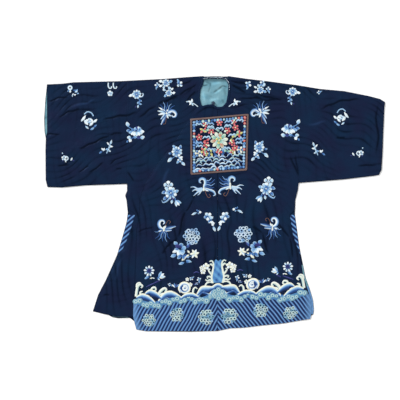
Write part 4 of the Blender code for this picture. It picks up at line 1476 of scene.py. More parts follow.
def twig(work, spot):
    """A crossing twig of pale beads and small leaves."""
    sew_band(work, spot, [(-0.2, -0.75), (0.0, -0.2), (0.2, 0.3), (0.35, 0.8)], 0.11, ("sky", "ice"))
    sew_leaves(
        work, spot,
        (0.2, 0.3, 0.6, 0.24, 62, "ice"),
        (0.12, 0.2, 0.48, 0.2, 118, "white"),
        (0.15, 0.1, 0.4, 0.22, 350, "white"),
        (0.0, -0.2, 0.36, 0.22, 190, "sky"),
        (0.0, -0.35, 0.34, 0.2, 320, "ice"),
        (-0.65, -0.45, 0.4, 0.24, 50, "white"),
        (-0.7, -0.5, 0.46, 0.22, 205, "deep"),
        (-0.62, -0.4, 0.36, 0.2, 115, "white"),
    )
    for bead in range(3):
        sew_disc(work, spot, 0.02 + 0.09 * bead, -0.25 + 0.22 * bead, 0.11, [(0.0, "white"), (1.0, "ice")])


def shoulder_spray(work, spot):
    sew_bloom(work, spot, 0.0, 0.1, 0.45)
    sew_leaves(
        work, spot,
        (-0.4, 0.2, 0.48, 0.34, 175, "white"),
        (0.3, 0.3, 0.46, 0.34, 15, "sky"),
        (-0.1, -0.3, 0.4, 0.26, 250, "ice"),
        (0.3, -0.3, 0.5, 0.28, 330, "ice"),
        (-0.35, -0.25, 0.44, 0.26, 205, "white"),
    )


def small_spray(work, spot):
    sew_petals(work, spot, 0.0, 0.0, 4, 0.05, 0.5, 0.4, ("ice", "white", "blue"), 35.0)
    sew_leaves(work, spot, (-0.2, 0.0, 0.8, 0.3, 195, "sky"), (0.1, 0.1, 0.4, 0.22, 75, "violet"))


def berry_leaf(work, spot):
    """A long leaf with a pale berry and three short leaves at its foot."""
    sew_leaves(
        work, spot,
        (-0.1, -0.05, 1.45, 0.5, 192, "ice"),
        (0.1, 0.15, 0.6, 0.32, 100, "deep"),
        (0.2, 0.1, 0.5, 0.3, 40, "blue"),
        (0.1, -0.1, 0.5, 0.3, 300, "sky"),
    )
    sew_eye(work, spot, 0.72, -0.05, 0.3, inner="white")


def hanging_spray(work, spot):
    sew_band(work, spot, [(-0.3, 0.7), (0.1, 0.1), (0.35, -0.7)], 0.09, ("mid", "sky"))
    sew_petals(work, spot, -0.3, 0.62, 5, 0.06, 0.42, 0.36, ("white", "ice", "blue"), 50.0)
    sew_leaves(
        work, spot,
        (0.0, 0.3, 0.42, 0.24, 40, "ice"),
        (-0.05, 0.25, 0.42, 0.26, 235, "blue"),
        (0.1, 0.05, 0.36, 0.24, 200, "white"),
        (0.15, -0.05, 0.34, 0.22, 330, "white"),
        (0.3, -0.5, 0.62, 0.3, 285, "ice"),
    )
    sew_eye(work, spot, 0.16, -0.06, 0.17, inner="white")
    sew_eye(work, spot, 0.24, -0.32, 0.15, inner="white")


def moth(work, spot):
    """A very small white moth with a long stalk."""
    sew_band(work, spot, [(0.1, -0.05), (0.55, -0.3), (0.95, -0.62)], 0.14, ("ice", "white"), taper=False)
    sew_leaves(
        work, spot,
        (0.0, 0.0, 0.62, 0.34, 150, "white"),
        (0.0, 0.0, 0.52, 0.3, 215, "white"),
        (0.0, 0.0, 0.6, 0.3, 80, "white"),
        (0.0, -0.05, 0.5, 0.26, 290, "ice"),
        (-0.5, 0.15, 0.4, 0.2, 175, "ice"),
    )


def bud_and_leaf(work, spot):
    sew_band(work, spot, [(-0.9, -0.9), (-0.5, -0.7), (0.0, -0.5)], 0.2, ("violet", "violet"))
    sew_bud(work, spot, -0.4, -0.2, 38, 0.95)
    sew_leaves(work, spot, (-0.3, -0.1, 0.5, 0.24, 330, "cream"), (-0.5, -0.25, 0.42, 0.2, 300, "ice"))


def fan_leaves(work, spot):
    sew_leaves(
        work, spot,
        (0.0, -0.4, 0.8, 0.26, 130, "white"),
        (0.0, -0.4, 0.8, 0.28, 95, "deep"),
        (0.0, -0.4, 0.75, 0.26, 62, "violet"),
        (0.05, -0.35, 0.9, 0.3, 30, "blue"),
    )


Motif = namedtuple("Motif", "sew x y size turn flip", defaults=(0.0, False))

MOTIFS = {
    "right_sleeve": [
        Motif(cuff_flower, -594, 474, 26),
        Motif(hook_pair, -441, 488, 25),
        Motif(wreath, -525, 344, 41),
        Motif(berry_spray, -620, 188, 27),
        Motif(twig, -441, 236, 35),
    ],
    "left_sleeve": [
        Motif(wreath, 538, 359, 38, 0, True),
        Motif(twig, 431, 228, 34, 0, True),
        Motif(berry_spray, 612, 209, 28, 0, True),
        Motif(small_spray, 442, 466, 15, 40, True),
    ],
    "right_body": [
        Motif(trailing_spray, -322, 446, 38),
        Motif(peony_spray, -328, 301, 41),
        Motif(shoulder_spray, -200, 502, 35, 350),
        Motif(small_spray, -236, 497, 20, 60),
        Motif(small_spray, -142, 501, 25, 280),
        Motif(shoulder_spray, -188, 466, 31, 190),
        Motif(climbing_butterfly, -198, 378, 40),
        Motif(moth, -91, 423, 27),
    ],
    "left_body": [
        Motif(trailing_spray, 332, 458, 37, 0, True),
        Motif(peony_spray, 323, 311, 42, 0, True),
        Motif(small_spray, 146, 501, 25, 270, True),
        Motif(shoulder_spray, 196, 479, 33, 190, True),
        Motif(small_spray, 206, 505, 22, 30),
        Motif(small_spray, 230, 480, 19, 300, True),
        Motif(climbing_butterfly, 200, 382, 40, 0, True),
        Motif(moth, 90, 423, 27, 0, True),
        Motif(forked_spray, 195, 222, 45, 0, True),
        Motif(hovering_butterfly, 72, 72, 41, 0, True),
        Motif(bud_spray, 222, 62, 51, 0, True),
        Motif(hanging_spray, 38, -75, 37, 0, True),
        Motif(berry_leaf, 98, -26, 18, 350, True),
        Motif(resting_butterfly, 248, -102, 41, 0, True),
        Motif(roundel, 126, -128, 36),
        Motif(roundel_tail, 158, -192, 42, 0, True),
        Motif(wheel_flower, 312, -266, 27, 0, True),
        Motif(bud_and_leaf, 257, -283, 28, 0, True),
    ],
    "overlap": [
        Motif(forked_spray, -157, 203, 46),
        Motif(hovering_butterfly, -42, 65, 41),
        Motif(bud_spray, -180, 44, 51),
        Motif(hanging_spray, -12, -77, 37),
        Motif(berry_leaf, -68, -37, 17, 5),
        Motif(resting_butterfly, -210, -112, 41),
        Motif(roundel, -91, -138, 36),
        Motif(roundel_tail, -120, -200, 44),
        Motif(wheel_flower, -270, -283, 28),
        Motif(bud_and_leaf, -218, -305, 30),
    ],
}


def sew_motifs(panel):
    """The scattered sprays, butterflies and roundels of one panel."""
    work = Stitching(panel + "_embroidery", front_top)
    for motif in MOTIFS[panel]:
        motif.sew(work, Spot(motif.x, motif.y, motif.size, motif.turn, motif.flip))
    return work.end()


# The border of standing water, swells and rocks over the hem. Its table is the viewer's left half.

STRIPE_PERIOD = 15.4
STRIPE_SLOPE = 1.85
RIGHT_STRIPE_SLOPE = 1.45
STRIPE_LIGHT_SHARE = 0.45
STRIPE_COLUMNS = 8
STRIPE_ROWS = 26
STRIPE_PAD = 0.6
BORDER_INSET = 0.35
BORDER_FADE = 30.0
RIGHT_STRETCH = 1.06
RIGHT_TILT = 0.11

CLOUD_PATH = line(
    (-326, -408), (-310, -411), (-290, -417), (-253, -425), (-219, -414), (-167, -400), (-133, -403),
    (-98, -391), (-70, -406), (-35, -400), (-10, -388), (17, -384),
)
CLOUD_RADIUS = 13.0
CLOUD_STEP = 16.0
CLOUD_RINGS = [
    (0.0, "cloud_line"), (0.2, "cloud_line"), (0.32, "cloud"), (0.44, "foam"), (0.56, "cloud"),
    (0.68, "cloud_line"), (0.84, "cloud"), (0.94, "cloud"), (1.0, "cloud_line"),
]

Swell = namedtuple("Swell", "foot crest end depth tones")

SWELLS = [
    Swell((-72, -380), (-41, -344), (2, -348), 38, "cream"),
    Swell((-325, -392), (-293, -377), (-239, -418), 30, "cream"),
    Swell((-288, -376), (-262, -360), (-214, -395), 30, "cream"),
    Swell((-239, -418), (-184, -365), (-131, -394), 34, "cream"),
    Swell((-213, -406), (-201, -388), (-181, -408), 9, "white"),
    Swell((-146, -402), (-95, -373), (-53, -395), 24, "cream"),
    Swell((-67, -392), (-44, -364), (-10, -386), 17, "white"),
]
SWELL_TONES = {
    "cream": ("royal", "royal", "royal", "deep", "deep", "mid", "sky", "ice", "cream", "cream"),
    "white": ("royal", "royal", "deep", "mid", "ice", "white"),
}

WHORL = Spot(-121, -354, 29, 0, False)

# Curls of spray over the swells
SPRAY = [
    Curl(11, [(-325, -390), (-322, -368), (-318, -350), (-308, -340), (-298, -346), (-304, -354)]),
    Curl(9, [(-322, -352), (-320, -338), (-310, -333), (-304, -337)]),
    Curl(9, [(-306, -384), (-306, -372), (-297, -368)]),
    Curl(9, [(-262, -370), (-258, -356), (-246, -352), (-242, -362), (-250, -366)]),
    Curl(12, [(-232, -386), (-222, -368), (-206, -356), (-198, -362), (-204, -372)]),
    Curl(9, [(-222, -384), (-210, -378), (-200, -384)]),
    Curl(8, [(-86, -376), (-84, -360), (-76, -352), (-68, -358)]),
    Curl(8, [(-178, -402), (-182, -390), (-172, -386)]),
    Curl(9, [(-2, -334), (-7, -312), (-4, -290), (0, -268), (0, -250), (-8, -240), (-17, -244)]),
    Curl(8, [(-2, -262), (-10, -254), (-16, -258)]),
    Curl(8, [(-5, -300), (-14, -290), (-20, -280), (-14, -274)]),
    Curl(8, [(-5, -312), (-16, -306), (-26, -308), (-24, -316)]),
    Curl(8, [(-4, -328), (-14, -320), (-26, -324), (-34, -318)]),
    Curl(7, [(-36, -348), (-28, -334), (-14, -330), (-4, -334)]),
]

# Outline of the rock as its x range at each height, from foot to peak
ROCK = line((-5, 44), (-6, 45), (-4, 43), (-3, 42), (0, 39), (2, 37), (6, 33))
ROCK_FOOT = -332.0
ROCK_PEAK = -238.0

ROUNDEL_PLACES = [(-270, -489, 28), (-154, -466, 30), (-30, -476, 33)]
ROUNDEL_TONES = (("cloud_line", "foam"), ("cloud", "foam"), ("cloud_line", "cloud"))
BORDER_BLOSSOMS = [(-31, -264, 15), (-44, -285, 12), (-50, -270, 9), (-97, -340, 9), (-110, -318, 8)]
SMALL_SPRAYS = [(-93, -315, 15, 200), (-61, -318, 17, 80), (-184, -340, 13, 130), (-70, -336, 10, 20)]
VIOLET_STROKES = [
    Curl(5, [(-283, -350), (-262, -340), (-240, -330)]),
    Curl(5, [(-84, -292), (-72, -287), (-60, -290)]),
    Curl(4, [(-84, -340), (-72, -336), (-60, -332)]),
]


def mirror_border(x, y):
    """Carries the viewer's left half of the border over to the right one, which lies a little turned."""
    return (
        CENTRE_SEAM + (CENTRE_SEAM - x) * RIGHT_STRETCH,
        y + RIGHT_TILT * (CENTRE_SEAM - x) * RIGHT_STRETCH * 0.9,
    )


LIGHT_BAND = ("band_edge", "band", "band", "band", "band_edge")
STRIPE_FOOT = -535.0
STRIPE_TOP = -370.0


def band_rise(share):
    """How far the light bands stand up, from 0 to 1, at a share of one light and dark band."""
    return np.where(share < STRIPE_LIGHT_SHARE, np.sin(np.pi * share / STRIPE_LIGHT_SHARE), 0.0)


def stripe_tones(phase, fade):
    """Colours of the standing water at a share of one light and dark band, paler near free edges."""
    share = phase % 1.0
    light = tones_at(LIGHT_BAND, np.clip(share / STRIPE_LIGHT_SHARE, 0, 1))
    mixed = np.where((share < STRIPE_LIGHT_SHARE)[:, None], light, THREADS["band_dark"])
    pale = THREADS["band"] * 0.9
    return mixed * (1 - 0.8 * fade)[:, None] + pale * 0.8 * fade[:, None]


def sew_standing_water(work, side_edge, hem, slope):
    """Slanting bands from the hem up to the clouds, each column of the grid along a band."""
    samples = np.linspace(STRIPE_FOOT, STRIPE_TOP, 331)
    runs = np.linspace(-460.0, CENTRE_SEAM - 2.0, 120)
    lows, highs = [], []
    for run in runs:
        x = run + (samples - STRIPE_FOOT) / slope
        inside = (
            (x > side_edge(samples) + BORDER_INSET) & (x < CENTRE_SEAM - 0.2)
            & (samples > hem(x) + BORDER_INSET) & (samples < y_of(CLOUD_PATH, x) - 2.0)
        )
        found = samples[inside]
        lows.append(found[0] if len(found) else samples[-1])
        highs.append(found[-1] if len(found) else samples[-1])
    lows, highs = np.array(lows), np.array(highs)
    used = highs > lows + 1.0
    runs, lows, highs = runs[used], lows[used], highs[used]
    bands = (runs[-1] - runs[0]) / STRIPE_PERIOD
    columns = int(bands * STRIPE_COLUMNS)

    def spot(u, v):
        run = runs[0] + u * (runs[-1] - runs[0])
        low, high = np.interp(run, runs, lows), np.interp(run, runs, highs)
        y = low + v * (high - low)
        return run + (y - STRIPE_FOOT) / slope, y, run

    def place(u, v):
        x, y, run = spot(u, v)
        sway = np.sin(np.pi * v) * np.sin(np.pi * u) ** 0.2
        wave = 1.5 * np.sin(y / 15.0 + run / 37.0) + 1.0 * np.sin(run / 13.0)
        return x + sway * wave, y, 0.2 + STRIPE_PAD * band_rise(run / STRIPE_PERIOD % 1.0)

    def shade(u, v):
        x, y, run = spot(u, v)
        return stripe_tones(run / STRIPE_PERIOD, ease(BORDER_FADE, 0.0, x - side_edge(y)))

    work.add(columns, STRIPE_ROWS, place, shade, runs[-1] - runs[0], 130.0)


def sew_clouds(work):
    """A row of ringed cloud cells along the top of the standing water."""
    path = [(x, y - 2.0) for x, y in CLOUD_PATH]
    work.strip(path, (26.0, 26.0), ("mid", "cloud_line", "cloud_line", "mid"), rows=60, columns=6)
    length = float(np.hypot(*np.diff(np.array(CLOUD_PATH, float), axis=0).T).sum())
    count = int(length / CLOUD_STEP)
    for cell in range(count + 1):
        x, y = at_share(CLOUD_PATH, cell / count)
        size = CLOUD_RADIUS * (1.0 + 0.16 * math.sin(2.4 * cell))
        if x < CENTRE_SEAM - 6.0:
            work.disc(
                x, y - 3.0 + 7.0 * math.sin(1.9 * cell), size, CLOUD_RINGS, pad=1.0, columns=14,
                squash=0.86 + 0.12 * math.sin(3.1 * cell), turn=50.0 * cell,
            )


def sew_swells(work):
    for swell in SWELLS:
        (x0, y0), (x1, y1), (x2, y2) = swell.foot, swell.crest, swell.end
        points = [
            (x0, y0), (0.55 * x0 + 0.45 * x1, 0.25 * y0 + 0.75 * y1), (x1, y1),
            (0.5 * x1 + 0.5 * x2, 0.7 * y1 + 0.3 * y2), (x2, y2),
        ]
        widths = [swell.depth * share for share in (0.35, 0.9, 1.15, 0.95, 0.4)]
        work.strip(points, widths, SWELL_TONES[swell.tones], rows=20, pad=1.1, columns=10, shift=1.0)


def sew_whorl(work):
    """The great curled wave: a pale crest round a deep hollow, with a small pale curl in it."""
    def arc(start, turns, first, last, count):
        points = []
        for step in range(count):
            share = step / (count - 1)
            reach = WHORL.size * (first + (last - first) * share)
            way = math.radians(start - 360 * turns * share)
            points.append((WHORL.x + reach * math.cos(way), WHORL.y + reach * math.sin(way)))
        return points

    hollow = [(0.0, "royal"), (0.6, "deep"), (1.0, "deep")]
    work.disc(WHORL.x, WHORL.y, WHORL.size * 0.78, hollow, pad=0.2, columns=16)
    crest = (8.0, 17.0, 17.0, 16.0, 13.0, 8.0)
    tones = ("royal", "deep", "sky", "white", "cream", "cream")
    work.strip(arc(225, 1.08, 0.98, 0.8, 12), crest, tones, rows=44, pad=1.0, columns=8, shift=1.0)
    curl = (8.0, 13.0, 11.0, 7.0)
    work.strip(arc(120, 1.3, 0.42, 0.1, 10), curl, ("sky", "white", "cream"), rows=30, pad=1.2, columns=6)


def sew_spray(work):
    for curl in SPRAY:
        work.strip(curl.points, (curl.width, curl.width, 0.8 * curl.width, 0.5 * curl.width),
                   ("cloud", "foam", "cream", "white"), rows=4 * (len(curl.points) - 1), pad=0.9)


def sew_rock(work):
    """A tall rock at the middle, of steep blue ridges."""
    lefts, rights = (np.array(side, float) for side in zip(*ROCK))
    stops = np.linspace(0.0, 1.0, len(ROCK))

    def place(u, v):
        left, right = np.interp(v, stops, lefts), np.interp(v, stops, rights)
        y = ROCK_FOOT + v * (ROCK_PEAK - ROCK_FOOT)
        ridge = np.sin(8.0 * u + 4.0 * np.sin(5.0 * v)) ** 2
        edge = (u < 0.01) | (u > 0.99) | (v < 0.01) | (v > 0.99)
        height = np.where(edge, 0.1, 0.4 + 0.4 * ridge)
        return left + u * (right - left), y + 3.0 * np.sin(9.0 * u) * (v > 0.9), height

    def shade(u, v):
        ridge = 0.5 + 0.3 * np.sin(11.0 * u + 5.0 * v) * np.sin(13.0 * v) + 0.2 * np.sin(19.0 * v + 7.0 * u)
        return tones_at(("deep", "rock_dark", "rock_dark", "rock", "rock"), ridge)

    work.add(20, 26, place, shade, 46.0, ROCK_PEAK - ROCK_FOOT)


MEDALLION = Point(21, -379)
DOME = Curl((16.0, 24.0, 26.0, 24.0, 16.0), [(-20, -388), (-8, -350), (19, -334), (46, -350), (58, -386)])


def sew_medallion(work):
    """A ringed flower on the centre seam, with a domed swell over it."""
    work.base = 0.7
    work.strip(DOME.points, DOME.width, SWELL_TONES["cream"], rows=26, pad=1.1, columns=10, shift=1.0)
    work.base = 1.6
    for petal in range(6):
        way = math.radians(60 * petal + 30)
        x, y = MEDALLION.x + 18 * math.cos(way), MEDALLION.y + 18 * math.sin(way)
        work.disc(x, y, 11.5, CLOUD_RINGS, pad=1.0)
    work.disc(*MEDALLION, 11.0, CLOUD_RINGS)


def sew_border(panel, side_edge, hem, slope, warp=None):
    """One half of the border over the hem. Each later part is sewn a little higher."""
    work = Stitching(panel + "_hem_border", front_top, warp)
    sew_standing_water(work, side_edge, hem, slope)
    for step, part in enumerate((sew_spray, sew_whorl, sew_swells, sew_clouds)):
        work.base = 0.45 * step
        part(work)
    work.base = 0.5
    for x, y, size in ROUNDEL_PLACES:
        roundel(work, Spot(x, y, size, 0, False), ROUNDEL_TONES)
    for x, y, size, turn in SMALL_SPRAYS:
        small_spray(work, Spot(x, y, size, turn, False))
    for curl in VIOLET_STROKES:
        work.strip(curl.points, (0.5 * curl.width, curl.width, 0.5 * curl.width), ("violet", "lilac"))
    for x, y, size in BORDER_BLOSSOMS:
        sew_blossom(work, Spot(x, y, size, 0, False))
    fan_leaves(work, Spot(-161, -343, 24, 0, False))
    return work


def left_edge_of_overlap(y):
    return x_of(CLOSING_EDGE, y)


def hem_of_overlap(x):
    return y_of(OVERLAP_HEM, x)


def edge_of_left_front(y):
    """The free side edge of the left front, carried back to the viewer's left half."""
    return CENTRE_SEAM - (x_of(LEFT_SIDE_FRONT, y + 40.0) - CENTRE_SEAM) / RIGHT_STRETCH


def hem_of_left_front(x):
    there = CENTRE_SEAM + (CENTRE_SEAM - x) * RIGHT_STRETCH
    return y_of(LEFT_FRONT_HEM, there) - RIGHT_TILT * (CENTRE_SEAM - x) * RIGHT_STRETCH * 0.9


# Bands on the back's upper side, in the open vents

VENT_BANDS = {
    "right": (RIGHT_SIDE_BACK, RIGHT_SIDE_FRONT, 1.0),
    "left": (LEFT_SIDE_BACK, LEFT_SIDE_FRONT, -1.0),
}
VENT_BAND_RANGE = (-48.0, -214.0)
VENT_BAND_SLOPE = 0.85
VENT_BAND_PERIOD = 19.0


def sew_vent_bands(side):
    outer, inner, way = VENT_BANDS[side]
    work = Stitching(side + "_vent_bands", back_inner_top)
    high, low = VENT_BAND_RANGE

    def spot(u, v):
        y = low + v * (high - low)
        outside = x_of(outer, y) + way * 1.5
        inside = x_of(inner, y) + way * 6.0
        return outside + u * (inside - outside), y

    def place(u, v):
        x, y = spot(u, v)
        phase = (y - VENT_BAND_SLOPE * way * x) / VENT_BAND_PERIOD % 1.0
        return x, y, 0.15 + 0.35 * band_rise(phase)

    def shade(u, v):
        x, y = spot(u, v)
        return stripe_tones((y - VENT_BAND_SLOPE * way * x) / VENT_BAND_PERIOD, np.zeros(len(u)))

    work.add(12, 130, place, shade, 40.0, high - low)
    return work.end()


PALE_BAND_RANGE = (-348.0, -464.0)


def sew_pale_band():
    """The faded end of the border on the vent's lining."""
    work = Stitching("vent_lining_band", level_lining)
    high, low = PALE_BAND_RANGE

    def spot(u, v):
        y = low + v * (high - low)
        inside, outside = x_of(LEFT_SIDE_FRONT, y) - 5.0, x_of(LEFT_SIDE_BACK, y) - 1.5
        return inside + u * (outside - inside), y

    def place(u, v):
        return *spot(u, v), np.full(len(u), 0.25)

    def shade(u, v):
        x, y = spot(u, v)
        return stripe_tones((x - 0.6 * y) / STRIPE_PERIOD, np.ones(len(u)))

    work.add(6, 60, place, shade, 20.0, high - low)
    return work.end()


# Neck binding, button and badge

BINDING_WIDTH = 10.0
BINDING_CROWN = 0.9
BINDING_STATIONS = 150
BINDING_PROFILE = 14
BUTTON = Point(-1, 420.5)
LOOP_RADIUS = 6.0
LOOP_CORD_RADIUS = 1.6
LOOP_STATIONS = 32
LOOP_PROFILE = 10
KNOT_RADIUS = 3.8
KNOT_HALF_HEIGHT = 2.9
BADGE_RIBBON_WIDTH = 7.0
RIBBON_STATIONS = 120
RIBBON_COLUMNS = 4
RIBBON_CROWN = 0.5
RIBBON_MARKS = 132
DASH_LENGTH = 4.0


def widened(loop, distance):
    """A clockwise loop moved outwards by a distance."""
    points = np.array(loop, float)
    along = np.roll(points, -1, axis=0) - np.roll(points, 1, axis=0)
    along /= np.linalg.norm(along, axis=1, keepdims=True)
    return points + np.column_stack((-along[:, 1], along[:, 0])) * distance


def even_loop(corners, count):
    """A closed line of corners as an even run of points, without the first one again."""
    closed = [*corners, corners[0]]
    return at_share(closed, np.arange(count) / count)


def softened(loop, rounds):
    for _ in range(rounds):
        loop = 0.5 * loop + 0.25 * (np.roll(loop, 1, axis=0) + np.roll(loop, -1, axis=0))
    return loop


def binding_top(x, y):
    """The binding steps up from the back neck to the fronts, and again on to the overlap."""
    on_back = ease(*BACK_NECK_Y, y) * ease(*BACK_NECK_RIGHT, x) * ease(*BACK_NECK_LEFT, x)
    on_overlap = ease(*OVERLAP_NECK_Y, y) * ease(*OVERLAP_NECK_LEFT, x)
    height = FRONT_TOP - (FRONT_TOP - LINING_TOP) * on_back + GAP + WALL
    return height + (OVERLAP_TOP - FRONT_TOP) * on_overlap


def binding_crown(x, y):
    return binding_top(x, y) + BINDING_CROWN


def closed_band(name, stations, profile, place):
    """A solid ring. place(station, step) gives the points round its section at each station."""
    form = bmesh.new()
    bmesh.ops.create_grid(form, x_segments=profile, y_segments=stations, size=0.5)
    spots = np.array([vertex.co[:2] for vertex in form.verts]) + 0.5
    step = np.rint(spots[:, 0] * profile).astype(int)
    station = np.rint(spots[:, 1] * stations).astype(int)
    for vertex, spot in zip(form.verts, located(place(station, step))):
        vertex.co = spot
    bmesh.ops.remove_doubles(form, verts=form.verts, dist=MERGE_DISTANCE)
    bmesh.ops.recalc_face_normals(form, faces=form.faces)
    mesh = bpy.data.meshes.new(name)
    form.to_mesh(mesh)
    form.free()
    mesh.shade_smooth()
    shade_folds(mesh)
    return bpy.data.objects.new(name, mesh)


def make_neck_binding():
    inner = softened(widened(even_loop(NECK, BINDING_STATIONS), -0.5), 3)
    outer = widened(inner, BINDING_WIDTH)

    def place(station, step):
        station = station % BINDING_STATIONS
        turn = 2 * np.pi * step / BINDING_PROFILE
        across = 0.5 - 0.5 * np.sign(np.cos(turn)) * np.abs(np.cos(turn)) ** 0.8
        flat = inner[station] * (1 - across)[:, None] + outer[station] * across[:, None]
        top = binding_top(*flat.T)
        middle = top - (WALL - BINDING_CROWN) / 2
        half = (WALL + BINDING_CROWN) / 2
        return np.column_stack((flat, middle + half * np.sign(np.sin(turn)) * np.abs(np.sin(turn)) ** 0.7))

    return closed_band("neck_binding_silk", BINDING_STATIONS, BINDING_PROFILE, place)


def sew_neck_dashes():
    """White flecks of worn stitching on the binding."""
    work = Stitching("neck_binding_dashes", binding_crown)
    chance = random.Random(7)
    middle = widened(softened(widened(even_loop(NECK, 96), -0.5), 2), BINDING_WIDTH * 0.45)
    for index, (x, y) in enumerate(middle):
        on_back = y > 519 and -46 < x < 60
        on_side = x > 50 and y > 458
        if (on_back and chance.random() < 0.85) or (on_side and chance.random() < 0.6):
            ahead = middle[(index + 1) % len(middle)] - middle[index - 1]
            ahead *= chance.uniform(0.5, 1.0) * DASH_LENGTH / 2 / np.linalg.norm(ahead)
            side = np.array((-ahead[1], ahead[0])) * chance.uniform(-1.0, 1.0)
            place = np.array((x, y)) + side
            widths = (1.4, chance.uniform(2.4, 3.8), 1.2)
            work.strip([place - ahead, place + ahead], widths, ("ice", "white", "ice"), rows=3, pad=0.3)
    return work.end()


def make_button_loop(x, y, z):
    """A ring of cord round that middle."""
    def place(station, step):
        around = 2 * np.pi * station / LOOP_STATIONS
        section = 2 * np.pi * step / LOOP_PROFILE
        out = LOOP_RADIUS + LOOP_CORD_RADIUS * np.cos(section)
        height = z + LOOP_CORD_RADIUS * np.sin(section)
        return np.column_stack((x + out * np.cos(around), y + out * np.sin(around), height))

    return closed_band("button_loop_cord", LOOP_STATIONS, LOOP_PROFILE, place)


def make_knot(x, y, z):
    form = bmesh.new()
    bmesh.ops.create_uvsphere(form, u_segments=20, v_segments=14, radius=1.0)
    for vertex in form.verts:
        way = vertex.co.copy()
        groove = 1.0 - 0.1 * math.sin(3 * math.atan2(way.y, way.x) + 4 * way.z) ** 2
        px, py = x + way.x * KNOT_RADIUS * groove, y + way.y * KNOT_RADIUS * groove
        vertex.co = located([(px, py, z + way.z * KNOT_HALF_HEIGHT)])[0]
    mesh = bpy.data.meshes.new("knot_button_cord")
    form.to_mesh(mesh)
    form.free()
    mesh.shade_smooth()
    return bpy.data.objects.new("knot_button_cord", mesh)


def badge_corners():
    """Corners of the badge inside its ribbon and the ribbon's inner corners."""
    outer = np.array(BADGE_CORNERS, float)
    middle = outer.mean(axis=0)
    inset = (outer - middle) * (1 - BADGE_RIBBON_WIDTH / np.abs(outer - middle))
    return middle + inset * (1 - GAP / np.abs(inset)), middle + inset


def badge_patch():
    top_left, top_right, low_right, low_left = badge_corners()[0]
    return patch([low_left, top_left], [low_right, top_right], [low_left, low_right], [top_left, top_right])


def make_badge():
    return flat_wall("badge_silk", badge_patch(), badge_top)


def make_badge_ribbon():
    inner = badge_corners()[1]
    near, far = even_loop(inner, RIBBON_STATIONS), even_loop(BADGE_CORNERS, RIBBON_STATIONS)

    def place(column, row):
        station = row.astype(int) % RIBBON_STATIONS
        across = column[:, None] / RIBBON_COLUMNS
        flat = near[station] * (1 - across) + far[station] * across
        crown = RIBBON_CROWN * np.sin(np.pi * column / RIBBON_COLUMNS)
        return np.column_stack((flat, badge_top(*flat.T) + crown))

    return wall("badge_ribbon_brocade", RIBBON_COLUMNS, RIBBON_STATIONS, place, closed=True)


def badge_spot(across, up, size, turn=0.0, flip=False):
    """A place on the badge from -1 to 1 across and up from its middle."""
    x, y = badge_patch()(np.array((across + 1) / 2), np.array((up + 1) / 2))
    return Spot(float(x), float(y), size, turn, flip)


BADGE_CLOUD = Curl((0.3, 0.55, 0.5, 0.55, 0.45, 0.25), [
    (-1.1, -0.25), (-0.5, 0.35), (0.1, 0.1), (0.6, 0.45), (1.1, 0.0), (0.7, -0.35),
])
BADGE_RIMS = (
    ("sky", "mid"), ("cloud", "foam"), ("mid", "sky"), ("sky", "ice"), ("coral", "tan"), ("mid", "deep"),
)
BADGE_RIM = 0.93
RIM_CELLS = 17
BADGE_WATER = (
    ("mid", "ice", "white"), ("mid", "cloud", "foam"), ("royal", "sky", "white"), ("royal", "mid", "foam"),
)


def sew_badge_flower(work, spot, petals, tones, radius):
    spot = spot._replace(size=radius)
    sew_petals(work, spot, 0.0, 0.0, petals, 0.18, 0.82, 0.62, tones)
    sew_disc(work, spot, 0.0, 0.0, 0.26, [(0.0, "gold"), (0.6, "cream"), (1.0, "olive")])


def badge_cloud(work, across, up, size, tone, flip):
    spot = badge_spot(across, up, size, 0.0, flip)
    sew_curve(work, spot, BADGE_CLOUD.points, BADGE_CLOUD.width, ("deep", tone, "ice"), rows=16)


def badge_leaf_pair(work, across, up, turn, tone):
    spot = badge_spot(across, up, 1.0)
    for way in (turn, turn + 180):
        work.leaf(spot.x, spot.y, 16.0, 9.0, way, LEAF_TONES[tone], bend=0.2)


def sew_badge_rim(work, chance):
    """Small round petals along the four sides."""
    for side in range(4):
        for cell in range(RIM_CELLS):
            along = BADGE_RIM * (2.0 * cell / RIM_CELLS - 1.0)
            across, up = (
                (along, -BADGE_RIM), (BADGE_RIM, along), (-along, BADGE_RIM), (-BADGE_RIM, -along),
            )[side]
            spot = badge_spot(across, up, 1.0)
            outer, inner = BADGE_RIMS[chance.randrange(6)]
            rings = [(0.0, inner), (0.4, inner), (0.7, outer), (1.0, outer)]
            work.disc(spot.x, spot.y, chance.uniform(5.4, 7.4), rings, columns=7,
                      squash=chance.uniform(0.7, 1.0), turn=chance.uniform(0, 180))


def sew_badge_water(work, chance):
    """Rows of uneven ripples, and shoots that grow from them."""
    for row in range(4):
        for ripple in range(8):
            across = -0.8 + 0.215 * ripple + (0.11 if row % 2 else 0.0) + chance.uniform(-0.05, 0.05)
            up = -0.86 + 0.125 * row + chance.uniform(-0.03, 0.03)
            x, y = badge_spot(min(max(across, -0.78), 0.8), up, 1.0)[:2]
            rise = chance.uniform(1.0, 8.0)
            lean = chance.uniform(-4.0, 4.0)
            path = [(x - 14, y - 4), (x - 5, y + rise), (x + 5, y + rise - lean), (x + 13, y - 4 + lean)]
            work.strip(path, (3.0, 7.5, 7.5, 3.0), BADGE_WATER[chance.randrange(4)], rows=10, shift=0.5)
    for shoot in range(9):
        spot = badge_spot(-0.78 + 0.195 * shoot, -0.42 + chance.uniform(-0.05, 0.05), 1.0)
        tones = LEAF_TONES[("night", "pale", "deep")[shoot % 3]]
        length = chance.uniform(16.0, 24.0)
        work.leaf(spot.x, spot.y, length, 6.5, chance.uniform(55, 125), tones, bend=0.3)


